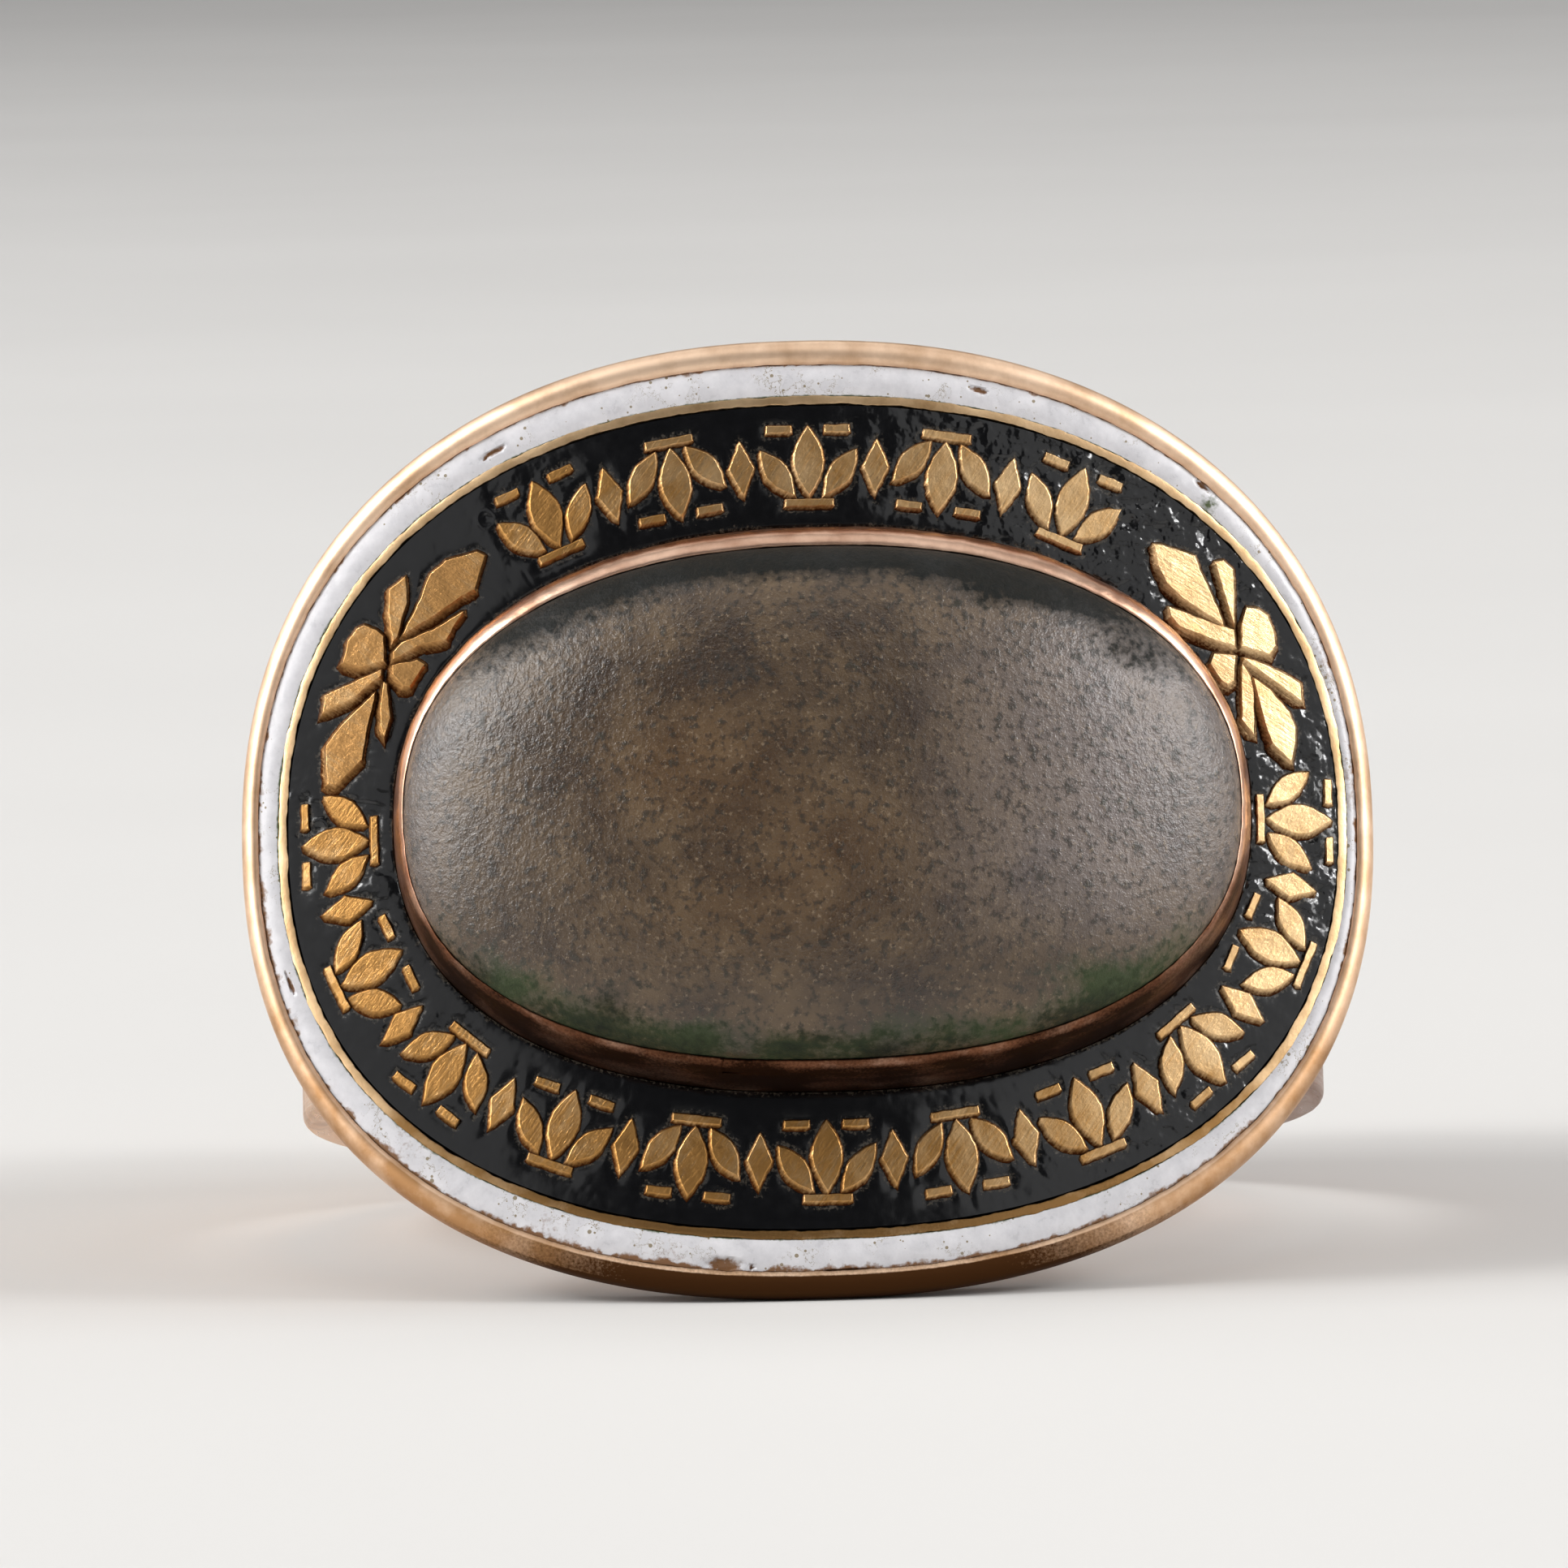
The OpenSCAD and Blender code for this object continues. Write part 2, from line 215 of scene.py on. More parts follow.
def worn_gold(name, light, warm, dirt_and_shade, roughness, streak=(0.9, 0.03), cuts=0.25, grain=0.15, layered=0.35,
              turned=None, dents=0.0):
    """Old polished gold of about 18 carat: rosy where it is bright, browner where its tarnish mark says, and
    brown wherever its dirt mark says. Both marks carry real tarnish and dirt, and on the rim's lower stretch,
    the ornament's walls and the ornament's left side they carry painted shade as well. Rubbing marks are as
    long and as wide as streak says, in millimetres, which is coarser than real ones: those would be finer
    than a pixel. They run along the piece, or straight over it if turned. Cuts, grain, layered and dents say
    how deep the marks, the pricks, the layers of dirt and the hollows are."""
    material, tree = new_material(name)
    place = add(tree, "TexCoord", out="Object")
    surface = add(tree, "UVMap", uv_map="UVMap")
    clouds = add(tree, "TexNoise",
                 {"Vector": place, "Scale": 1 / (0.8 * MM), "Detail": 6, "Roughness": 0.62})
    long, wide = streak
    run, size, turn = surface, (long, wide, 1), 0
    if turned is not None:
        run, size, turn = place, (long * MM, long * MM, wide * MM), math.radians(turned)
    along = add(tree, "Mapping",
                {"Vector": run, "Rotation": (0, turn, 0), "Scale": size}, vector_type="TEXTURE")
    streaks = add(tree, "TexNoise", {"Vector": along, "Scale": 1, "Detail": 4, "Roughness": 0.7})
    speck = add(tree, "TexNoise",
                {"Vector": place, "Scale": 1 / (0.05 * MM), "Detail": 3, "Roughness": 0.6})
    patina_and_shade = add(tree, "Attribute", out="Fac", attribute_name="tarnish_and_shade")
    browner = add(tree, "Math", {0: patina_and_shade, 1: 0.45, 2: clouds}, operation="MULTIPLY_ADD")
    lined = add(tree, "Math", {0: streaks, 1: cuts, 2: browner}, operation="MULTIPLY_ADD")
    tarnish_and_shade = add(tree, "MapRange",
                  {"Value": lined, "From Min": 0.42 + cuts / 2, "From Max": 0.95 + cuts / 2})
    tone = add(tree, "Mix", {0: tarnish_and_shade, 6: hue(light), 7: hue(warm)}, out=2, data_type="RGBA")
    settled_and_shaded = add(tree, "Attribute", out="Fac", attribute_name="dirt_and_shade")
    patchy = add(tree, "Math", {0: speck, 1: 0.5, 2: settled_and_shaded}, operation="MULTIPLY_ADD")
    crusted_and_shaded = add(tree, "Math", {0: streaks, 1: layered, 2: patchy}, operation="MULTIPLY_ADD")
    grime_and_shade = add(tree, "MapRange",
                {"Value": crusted_and_shaded, "From Min": 0.55 + layered / 2, "From Max": 1.15 + layered / 2})
    coloured = add(tree, "Mix", {0: grime_and_shade, 6: tone, 7: hue(dirt_and_shade)}, out=2, data_type="RGBA")
    rubbed = add(tree, "MapRange",
                 {"Value": streaks, "From Min": 0.3, "From Max": 0.75, "To Min": roughness - 0.06,
                  "To Max": roughness + 0.12})
    dulled = add(tree, "Math", {0: grime_and_shade, 1: 0.25, 2: rubbed}, operation="MULTIPLY_ADD")
    pricks = add(tree, "Math", {0: speck, 1: grain}, operation="MULTIPLY")
    relief = add(tree, "Math", {0: streaks, 1: cuts, 2: pricks}, operation="MULTIPLY_ADD")
    hollows = add(tree, "TexNoise", {"Vector": place, "Scale": 1 / (0.25 * MM), "Detail": 1})
    relief = add(tree, "Math", {0: hollows, 1: dents, 2: relief}, operation="MULTIPLY_ADD")
    bumped = add(tree, "Bump", {"Height": relief, "Strength": 1, "Distance": 0.012 * MM})
    metal = add(tree, "BsdfPrincipled",
                {"Base Color": coloured, "Roughness": dulled, "Normal": bumped, "Metallic": 1})
    add(tree, "OutputMaterial", {"Surface": metal})
    return material


hoop = bmesh.new()
bmesh.ops.create_grid(hoop, x_segments=1, y_segments=1, size=0.5)
for v in hoop.verts:
    v.co = Vector((0, v.co.y * hoop_front_w, finger_r + hoop_wall / 2 + v.co.x * hoop_wall))
bmesh.ops.bevel(hoop, geom=hoop.verts[:], offset=hoop_edge_round, segments=5, profile=0.5,
                affect="VERTICES", material=-1)
bmesh.ops.delete(hoop, geom=hoop.faces[:], context="FACES_ONLY")
flats = [e for e in hoop.edges if e.calc_length() > hoop_front_w / 2]
bmesh.ops.subdivide_edges(hoop, edges=flats, cuts=hoop_cuts)
bmesh.ops.spin(hoop, geom=hoop.verts[:] + hoop.edges[:], cent=(0, 0, 0), axis=(0, 1, 0),
               angle=math.tau, steps=hoop_steps, use_merge=True)
bmesh.ops.remove_doubles(hoop, verts=hoop.verts, dist=1e-4)
hoop_uv = hoop.loops.layers.uv.new("UVMap")
for face in hoop.faces:
    middle = face.calc_center_median()
    turned_by = math.atan2(middle.x, middle.z)
    for loop in face.loops:
        point = loop.vert.co
        swing = math.remainder(math.atan2(point.x, point.z) - turned_by, math.tau)
        loop[hoop_uv].uv = ((turned_by + swing) * hoop_r, point.y)
hoop.verts.layers.float.new("dirt_and_shade")
hoop.verts.layers.float.new("tarnish_and_shade")
hoop_dirt, hoop_tarnish = hoop.verts.layers.float["dirt_and_shade"], hoop.verts.layers.float["tarnish_and_shade"]
for v in hoop.verts:
    taper = 0.5 + v.co.z / (2 * hoop_r)
    v.co.y *= (hoop_back_w + (hoop_front_w - hoop_back_w) * taper) / hoop_front_w
    dent = max(0, noise.noise(v.co / hoop_dent_size)) * hoop_dent
    outward = Vector((v.co.x, 0, v.co.z)).normalized()
    v.co -= outward * dent * (1 if math.hypot(v.co.x, v.co.z) > finger_r + hoop_wall / 2 else -1)
    v[hoop_dirt] = 0.1 + 0.4 * noise.noise(v.co / 1.3)
    v[hoop_tarnish] = 0.35 + v.co.x / (7 if v.co.x > 0 else 20) + 0.4 * noise.noise(v.co / 1.9)
hoop_gold = worn_gold("rubbed_gold_of_the_hoop", "#ecc4a0", "#96705a", "#4e3320", 0.3, (1.6, 0.06), 0.2)
fitted("hoop", hoop, hoop_gold, "gold_frame")

# Bezel plate with its rim
# A thick oval plate of gold, bent across the finger, with a low rounded rim. The rim is rubbed bright on
# its crown and dull outside it. Along the bottom it is painted darker and browner, a painted shade standing
# for dark ground mirrored there, and a wavy brown line of dirt follows it there, where it meets the white
# enamel.
face_r = 22
oval_power = 2.28
fit_gap = 0.02
plate_t = 1.3
rim_rise = 0.08
trough_depth = 0.34
border_fall = 0.08
stations = 1440
plate_high = own_box("gold_frame")[1]
white_high = own_box("white_enamel")[1]
bezel_half = Vector((plate_high.x, plate_high.y))
enamel_lap = Vector((0.06, 0.015))
rim_half = Vector((white_high.x + fit_gap, white_high.y + fit_gap)) + enamel_lap
face_u = own_box("black_enamel")[1].z
# Rim section from the back to the white enamel: inset as a share of the rim's width,
# and depth below the crown as a share of its whole depth
RIM = [
    (1.25, 1.00),
    (0.50, 0.72),
    (0.14, 0.48),
    (0.00, 0.28),
    (0.02, 0.15),
    (0.09, 0.085),
    (0.22, 0.042),
    (0.38, 0.014),
    (0.55, 0.00),
    (0.72, 0.003),
    (0.88, 0.018),
    (1.00, 0.045),
]
rim_ragged = 0.014
flat_rows = 8
# Share of the way down at which painted shade starts to darken and brown the rim's lower stretch, and where
# it is darkest
shaded_from = 0.80
shaded_full = 0.97


def face_z(x):
    """Distance of the enamel's surface from the finger axis, at a place across the finger."""
    return face_u - face_r + math.sqrt(face_r ** 2 - x ** 2)


def on_oval(share, half, shift=(0, 0)):
    """Point of a full oval at a share of the turn, anticlockwise from its right end."""
    c, s = math.cos(math.tau * share), math.sin(math.tau * share)
    x = math.copysign(abs(c) ** (2 / oval_power), c) * half[0] + shift[0]
    y = math.copysign(abs(s) ** (2 / oval_power), s) * half[1] + shift[1]
    return x, y


def mottle(x, y, seed, size):
    """Smooth noise from -1 to 1 over the face, whose blots are about size millimetres wide."""
    return noise.noise(Vector((x / size, y / size, seed)))


def clamped(value):
    """The value kept between 0 and 1."""
    return min(1.0, max(0.0, value))


def flowing(points, steps):
    """A smooth curve through the points of a short table, as closer points."""
    found = []
    for i in range(len(points) - 1):
        before, start, end, after = (Vector(points[min(max(k, 0), len(points) - 1)])
                                     for k in (i - 1, i, i + 1, i + 2))
        for k in range(steps):
            t = k / steps
            found.append(start + ((end - before) * t + (2 * before - 5 * start + 4 * end - after) * t ** 2
                                  + (3 * start - before - 3 * end + after) * t ** 3) / 2)
    return found + [Vector(points[-1])]


def rolled(drawing, around, rows, place, width, marks=("dirt_and_shade", "tarnish_and_shade")):
    """A sheet rolled once round into a ring or a dome. For a share of the turn and a row, place gives the
    point and then each of the marks that the material reads. UV is in millimetres, along and across."""
    uv = drawing.loops.layers.uv.verify()
    layers = [drawing.verts.layers.float.get(mark) or drawing.verts.layers.float.new(mark) for mark in marks]
    made = bmesh.ops.create_grid(drawing, x_segments=around, y_segments=len(rows) - 1, size=0.5)["verts"]
    spots = {v: (v.co.x + 0.5, round((v.co.y + 0.5) * (len(rows) - 1))) for v in made}
    length = math.pi * (bezel_half.x + bezel_half.y)
    for face in {f for v in made for f in v.link_faces}:
        for loop in face.loops:
            share, row = spots[loop.vert]
            loop[uv].uv = (share * length, row * width / (len(rows) - 1))
    for v, (share, row) in spots.items():
        v.co, *values = place(share, rows[row])
        for layer, value in zip(layers, values):
            v[layer] = value
    bmesh.ops.remove_doubles(drawing, verts=made, dist=2e-5)


def plate_point(share, row):
    """Point of the plate or the rim, with its dirt and tarnish; along the rim's lower stretch both also carry
    painted shade.
    """
    half, height, soil_and_shade, ragged, browned = row
    x, y = on_oval(share, half)
    shake = ragged * (mottle(x, y, 1, 0.35) + 0.5 * mottle(x, y, 2, 0.12))
    x, y = on_oval(share, half + Vector((shake, shake)))
    low = -y / half.y if half.y > 0 else 0
    # Painted shade: the rim's lower stretch is darkened and browned as if it mirrored dark ground, by brown
    # added to the dirt mark and by tarnish that grows towards the bottom.
    brown = browned * clamped((low - shaded_from) / (shaded_full - shaded_from))
    soil_and_shade *= 0.2 + 0.8 * clamped(0.1 + 1.5 * low) if ragged > 0 else 1
    dirt_and_shade = soil_and_shade * (1 + 0.5 * mottle(x, y, 3, 1.7) + 0.35 * mottle(x, y, 4, 0.3)) + brown
    tarnish_and_shade = 0.1 + 0.7 * clamped(0.2 + low) * browned + 0.3 * mottle(x, y, 5, 0.9)
    return Vector((x, y, face_z(x) + height)), dirt_and_shade, tarnish_and_shade


rim_depth = plate_t + rim_rise
rim_width = bezel_half - rim_half
rim_rows = []
for inset, depth in flowing(RIM, 3):
    inner = depth < 0.5 and inset > 0.8
    soil_and_shade = 0.5 * max(0, depth - 0.3) + 0.7 * clamped((inset - 0.96) / 0.04) * inner + 0.2 * (inset < 0.16)
    rim_rows.append((bezel_half - rim_width * inset, rim_rise - depth * rim_depth, soil_and_shade,
                     rim_ragged if inner else 0.0, 0.35 if inner else 1.0))
back_rows = [(rim_rows[0][0] * k / flat_rows, -plate_t, 0.3, 0.0, 0.0) for k in range(flat_rows)]
trough_floor = -trough_depth - border_fall
under_rows = [(rim_half * (1 - k / flat_rows), trough_floor, 0.9, 0.0, 0.0) for k in range(flat_rows + 1)]
plate = bmesh.new()
rolled(plate, stations, back_rows + rim_rows + under_rows, plate_point, 3.0)
bmesh.ops.remove_doubles(plate, verts=plate.verts, dist=1e-4)
# The rim's dirt colour also serves as the painted shade along its bottom.
rim_gold = worn_gold("rubbed_gold_of_the_rim", "#f8d8ba", "#b98c60", "#4a2e18", 0.44, (1.4, 0.05), 0.12, 0.1)
fitted("bezel_plate_with_rim", plate, rim_gold, "gold_frame")

# Thin gold line
# A narrow wall of gold left standing between the two enamels and rubbed down nearly flush with them, so
# its edges waver and its top is scratched across. It is bright everywhere but along the bottom.
line_w = 0.14
line_ragged = 0.022
line_round = 0.02
line_crown = 0.006
black_low, black_high = own_box("black_enamel")
band_half = Vector((black_high.x - black_low.x, black_high.y - black_low.y)) / 2 + Vector((fit_gap, fit_gap))
line_shift = Vector((black_high.x + black_low.x, black_high.y + black_low.y)) / 2
white_half = band_half + Vector((line_w, line_w))


def line_point(share, row):
    """Point of the thin line, whose edges waver by hand, with its dirt and tarnish."""
    grow, height, soil_and_shade, ragged = row
    half = band_half + Vector((grow, grow))
    x, y = on_oval(share, half, line_shift)
    shake = ragged * (mottle(x, y, 10 * grow, 0.5) + 0.7 * mottle(x, y, 10 * grow + 5, 0.14))
    x, y = on_oval(share, half + Vector((shake, shake)), line_shift)
    low = clamped((-y / band_half.y - 0.45) / 0.5)
    tarnish_and_shade = 0.2 + 0.9 * low + 0.5 * mottle(x, y, 7, 0.6)
    return Vector((x, y, face_z(x) + height)), soil_and_shade + 0.3 * low + 0.3 * mottle(x, y, 8, 0.9), tarnish_and_shade


deep = -trough_depth - border_fall / 2
line_rows = [
    (line_w + fit_gap / 2, deep, 1.0, 0),
    (line_w + fit_gap / 2, -0.03, 0.9, line_ragged),
    (line_w, 0.0, 0.35, line_ragged),
    (line_w - line_round, 0.004, 0.05, line_ragged),
    (line_w / 2, line_crown, 0.0, line_ragged),
    (line_round, 0.004, 0.05, line_ragged),
    (0, 0.0, 0.3, line_ragged),
    (-fit_gap / 2, -0.03, 0.8, line_ragged),
    (-fit_gap / 2, deep, 1.0, 0),
    (line_w + fit_gap / 2, deep, 1.0, 0),
]
thin_line = bmesh.new()
rolled(thin_line, stations, line_rows, line_point, 0.4)
line_gold = worn_gold("filed_gold_of_the_line", "#f0cda0", "#9c7648", "#3e2c16", 0.34, (0.04, 0.4), 0.45, 0.3)
fitted("thin_line", thin_line, line_gold, "gold_frame")

# Palmettes and lozenges
# Gold left standing where the ground was cut away with a graver to hold the black enamel. The tops were
# filed flat, in line with the glass. The walls slope, most of all on their lower side, are painted brown,
# partly dirt and partly painted shade that deepens towards their foot, and show each cut of the tool.
stone_low, stone_high = own_box("cabochon")
stone_half = Vector((stone_high.x - stone_low.x, stone_high.y - stone_low.y)) / 2
stone_shift = Vector((stone_high.x + stone_low.x, stone_high.y + stone_low.y)) / 2
stone_down = 0.06
collar_shift = stone_shift + Vector((0, stone_down))
collar_lean = 0.3
collar_edge = 0.14
collar_rise = 1.2
collar_end_share = 0.46
narrowing = Vector((collar_end_share, 1))
collar_half = stone_half + narrowing * (collar_lean + collar_edge + fit_gap)
ornament_clear = 0.06
ornament_rise = 0.035
pitch_share = 1.65
leaf_spread = math.radians(36)
sprig_len = 4.5
sprig_from_top = 8.1
cut_step = 0.04
cut_shake = 0.013
arc_steps = 1440
# Direction on the face in which the walls slope most, right and up, and the least slope as a share
shallow_side = Vector((-0.35, -0.94))
steep_share = 0.3
# The hand's unsteadiness is drawn from this seed
hand_seed = 3
noise.seed_set(hand_seed)


def band_oval(across):
    """Half sizes and middle of the oval at a share of the way from the thin line to the collar."""
    return (band_half * (1 - across) + collar_half * across,
            line_shift * (1 - across) + collar_shift * across)


def middle_of_band(share):
    """Point on the face along the middle of the band, clockwise from the top."""
    half, shift = band_oval(0.5)
    x, y = on_oval(0.25 - share, half, shift)
    return Vector((x, y, face_z(x)))


arc = [0.0]
for k in range(arc_steps):
    step = middle_of_band((k + 1) / arc_steps) - middle_of_band(k / arc_steps)
    arc.append(arc[-1] + step.length)
band_len = arc[-1]
ornament_h = min(band_half.x - collar_half.x + line_shift.x - collar_shift.x,
                 band_half.y - collar_half.y - collar_shift.y) - 2 * ornament_clear
palmette_pitch = pitch_share * ornament_h


def band_place(s):
    """Point, direction along and direction outwards on the face, at a length along the band."""
    wanted = s % band_len
    k = next(i for i in range(arc_steps) if arc[i + 1] >= wanted)
    share = (k + (wanted - arc[k]) / (arc[k + 1] - arc[k])) / arc_steps
    here = middle_of_band(share)
    along = (middle_of_band(share + 0.001) - middle_of_band(share - 0.001)).normalized()
    upward = Vector((here.x, 0, math.sqrt(face_r ** 2 - here.x ** 2))).normalized()
    return here, along, upward.cross(along)


def hand_cut(corners, s):
    """A shape's outline in close steps, each pushed a little off the line by the graver."""
    points = []
    for start, end in zip(corners, corners[1:] + corners[:1]):
        start, end = Vector(start), Vector(end)
        steps = max(1, round((end - start).length / cut_step))
        points += [start.lerp(end, k / steps) for k in range(steps)]
    shaken = []
    for point in points:
        shift = noise.noise_vector(Vector((point.x, point.y, s * 1.7)) / 0.14) * cut_shake
        shaken.append(point + Vector((shift.x, shift.y)))
    return shaken


gold_edges = []


def reserved(drawing, corners, s, wall, rise=ornament_rise, edge=0.008):
    """A flat-topped gold shape in the band at s, with sloping walls and a worn edge. Its outline is noted,
    because the enamel round it holds dirt."""
    outline = hand_cut(corners, s)
    turning = sum(a.x * b.y - b.x * a.y for a, b in zip(outline, outline[1:] + outline[:1]))
    here, along, across = band_place(s)
    tilt = noise.noise_vector(Vector((s, outline[0].x * 3, outline[0].y * 3))) * 0.04
    count = len(outline)

    def place(share, row):
        grow, height, soil_and_shade = row
        i = round(share * count) % count
        way = outline[(i + 1) % count] - outline[i - 1]
        outwards = Vector((way.y, -way.x)).normalized() * math.copysign(1, turning)
        facing = (along * outwards.x + across * outwards.y).to_2d().dot(shallow_side)
        slope = steep_share + (1 - steep_share) * max(0, facing)
        spot = outline[i] + outwards * (grow * slope if grow > 0 else grow)
        flat = here + along * spot.x + across * spot.y
        tip = tilt.dot(Vector((spot.x, spot.y, 0))) if height > 0 else 0
        # Painted shade: the gold is browner towards the left and a little towards the bottom, where the face
        # turns from the light; the mottle over it is real patina.
        patina_and_shade = clamped(0.72 - 0.085 * flat.x - 0.03 * flat.y) + 0.25 * mottle(flat.x, flat.y, 12, 0.5)
        if grow == wall:
            gold_edges.append(flat.copy())
        return Vector((flat.x, flat.y, face_z(flat.x) + height + tip)), soil_and_shade, patina_and_shade

    # Third column of each row: how brown the wall is painted there, part dirt and part painted shade, darkest
    # at its foot.
    rows = [(wall * 1.05, -0.08, 1.1), (wall, -0.012, 0.95), (wall * 0.45, rise * 0.35, 0.7),
            (0, rise - 0.004, 0.35), (-edge, rise, 0.0)]
    rolled(drawing, count, rows, place, 0.2)


def close_rims(drawing):
    """Fills the open top and bottom of each shape."""
    open_edges = [e for e in drawing.edges if e.is_boundary]
    bmesh.ops.holes_fill(drawing, edges=open_edges, sides=0)
    uv = drawing.loops.layers.uv.verify()
    for face in drawing.faces:
        if len(face.verts) > 4:
            for loop in face.loops:
                loop[uv].uv = (loop.vert.co.x, loop.vert.co.y)


# Leaves of a palmette: side, then foot along the band, foot across it, length and width,
# all as shares of the ornament's height
LEAVES = [
    (-1, -0.19, -0.36, 0.68, 0.27),
    (0, 0.00, -0.37, 0.86, 0.36),
    (1, 0.19, -0.36, 0.68, 0.27),
]
# Bars of a palmette: middle along the band, middle across it, length and thickness, as such shares
BARS = [
    (0.000, -0.458, 0.58, 0.084),
    (-0.360, 0.458, 0.30, 0.084),
    (0.360, 0.458, 0.30, 0.084),
]
# Width and height of a lozenge, as such shares
LOZENGE = (0.30, 0.66)
leaf_steps = 8


def palmette(drawing, s, up):
    """Three leaves rising from a short bar, with two thin bars beside the upright leaf's tip."""
    for side, foot_x, foot_y, length, width in LEAVES:
        turn = -leaf_spread * side
        corners = []
        for k in range(2 * leaf_steps):
            u = k / leaf_steps if k <= leaf_steps else 2 - k / leaf_steps
            w = (1 if k <= leaf_steps else -1) * width / 2 * math.sin(math.pi * u)
            x = foot_x + w * math.cos(turn) - length * u * math.sin(turn)
            y = foot_y + w * math.sin(turn) + length * u * math.cos(turn)
            corners.append((x * ornament_h * up, y * ornament_h * up))
        reserved(drawing, corners, s, 0.12)
    for x, y, length, thickness in BARS:
        reserved(drawing, [((x + i * length / 2) * ornament_h * up, (y + j * thickness / 2) * ornament_h * up)
                           for i, j in ((-1, -1), (1, -1), (1, 1), (-1, 1))], s, 0.075)


def running_ornament(drawing, middle, stretch):
    """Palmettes turned in and out by turns, with lozenges between them, along one stretch of the band."""
    count = math.floor(stretch / palmette_pitch)
    start = middle - (count - 1) / 2 * palmette_pitch
    for k in range(count):
        palmette(drawing, start + k * palmette_pitch, 1 if k % 2 == 0 else -1)
    for k in range(count - 1):
        x, y = LOZENGE[0] * ornament_h / 2, LOZENGE[1] * ornament_h / 2
        reserved(drawing, [(x, 0), (0, y), (-x, 0), (0, -y)], start + (k + 0.5) * palmette_pitch, 0.12)


flat_crease = 11
# Its dirt colour also paints the shade in the walls.
ornament_gold = worn_gold("graved_gold_of_the_ornament", "#f0cb98", "#b5864c", "#3e1e0a", 0.32,
                          streak=(0.45, 0.045), cuts=0.7, grain=0.5, turned=-52, dents=1.1)
over = bmesh.new()
running_ornament(over, 0, 2 * sprig_from_top - sprig_len)
close_rims(over)
fitted("palmettes_above", over, ornament_gold, "gold_frame", flat_crease)
under = bmesh.new()
running_ornament(under, band_len / 2, band_len - 2 * sprig_from_top - sprig_len)
close_rims(under)
fitted("palmettes_below", under, ornament_gold, "gold_frame", flat_crease)

# Carved sprigs
# Two sprigs of eight leaves each, cut from the same gold with V-shaped cuts between the leaves. The cuts
# don't reach the black ground near the middle of a sprig, where they show gold painted brown, partly dirt and
# partly painted shade.
# Corners of each leaf in millimetres: along the band towards the side of the bezel, and away from the stone
LEFT_SPRIG = {
    "long_leaf_up": [(-0.24, -0.07), (-0.76, -0.01), (-1.37, 0.13), (-1.72, 0.03), (-2.15, -0.35),
                     (-2.18, -0.50), (-1.59, -0.69), (-1.39, -0.57), (-0.90, -0.38)],
    "pointed_leaf": [(0.09, -0.10), (-0.12, -0.14), (-0.64, -0.50), (-1.19, -0.76), (-0.84, -0.76),
                     (-0.62, -0.79), (-0.33, -0.47), (0.18, -0.18)],
    "thin_leaf_up": [(-0.06, 0.01), (-0.41, 0.36), (-0.75, 0.60), (-1.08, 0.48), (-0.75, 0.21),
                     (-0.17, 0.00)],
    "petal": [(-0.03, 0.20), (-0.04, 0.40), (0.01, 0.61), (0.12, 0.69), (0.39, 0.69), (0.73, 0.54),
              (0.64, 0.25), (0.31, -0.05)],
    "small_petal": [(0.28, -0.23), (-0.04, -0.56), (-0.06, -0.71), (0.40, -0.71), (0.46, -0.61),
                    (0.40, -0.33)],
    "bar_leaf": [(0.45, -0.11), (1.00, 0.24), (1.38, 0.49), (1.64, 0.34), (1.13, 0.03), (0.53, -0.16)],
    "long_leaf_down": [(0.83, -0.25), (1.71, -0.06), (2.06, -0.04), (2.20, -0.14), (2.57, -0.46),
                       (2.51, -0.59), (1.90, -0.73), (1.50, -0.53)],
    "thin_leaf_down": [(0.60, -0.28), (1.01, -0.49), (1.23, -0.68), (1.37, -0.85), (1.03, -0.73),
                       (0.60, -0.34)],
}
RIGHT_SPRIG = {
    "long_leaf_up": [(-0.10, -0.16), (-0.31, -0.08), (-1.11, 0.11), (-1.33, 0.18), (-1.85, -0.19),
                     (-1.93, -0.28), (-1.60, -0.46), (-1.27, -0.53), (-0.86, -0.45)],
    "pointed_leaf": [(0.08, -0.06), (-0.23, -0.30), (-0.77, -0.65), (-0.92, -0.76), (-0.78, -0.84),
                     (-0.55, -0.82), (0.03, -0.44), (0.31, -0.22)],
    "thin_leaf_up": [(0.02, 0.00), (-0.43, 0.37), (-0.73, 0.59), (-0.95, 0.55), (-1.02, 0.43),
                     (-0.62, 0.25)],
    "petal": [(0.09, 0.14), (-0.08, 0.38), (0.07, 0.53), (0.26, 0.60), (0.53, 0.51), (0.75, 0.38),
              (0.79, 0.20), (0.39, -0.11)],
    "small_petal": [(0.44, -0.32), (0.19, -0.61), (0.28, -0.78), (0.64, -0.80), (0.74, -0.76),
                    (0.76, -0.63)],
    "bar_leaf": [(0.55, -0.24), (0.71, -0.09), (1.15, 0.17), (1.51, 0.34), (1.76, 0.16), (1.26, 0.00)],
    "long_leaf_down": [(0.94, -0.30), (1.26, -0.20), (1.77, -0.16), (2.05, -0.24), (2.26, -0.42),
                       (2.46, -0.67), (2.02, -0.75), (1.61, -0.61)],
    "thin_leaf_down": [(0.63, -0.31), (0.88, -0.33), (1.07, -0.41), (1.69, -0.92), (1.37, -0.93),
                       (0.94, -0.59)],
}
carved_rise = 0.09
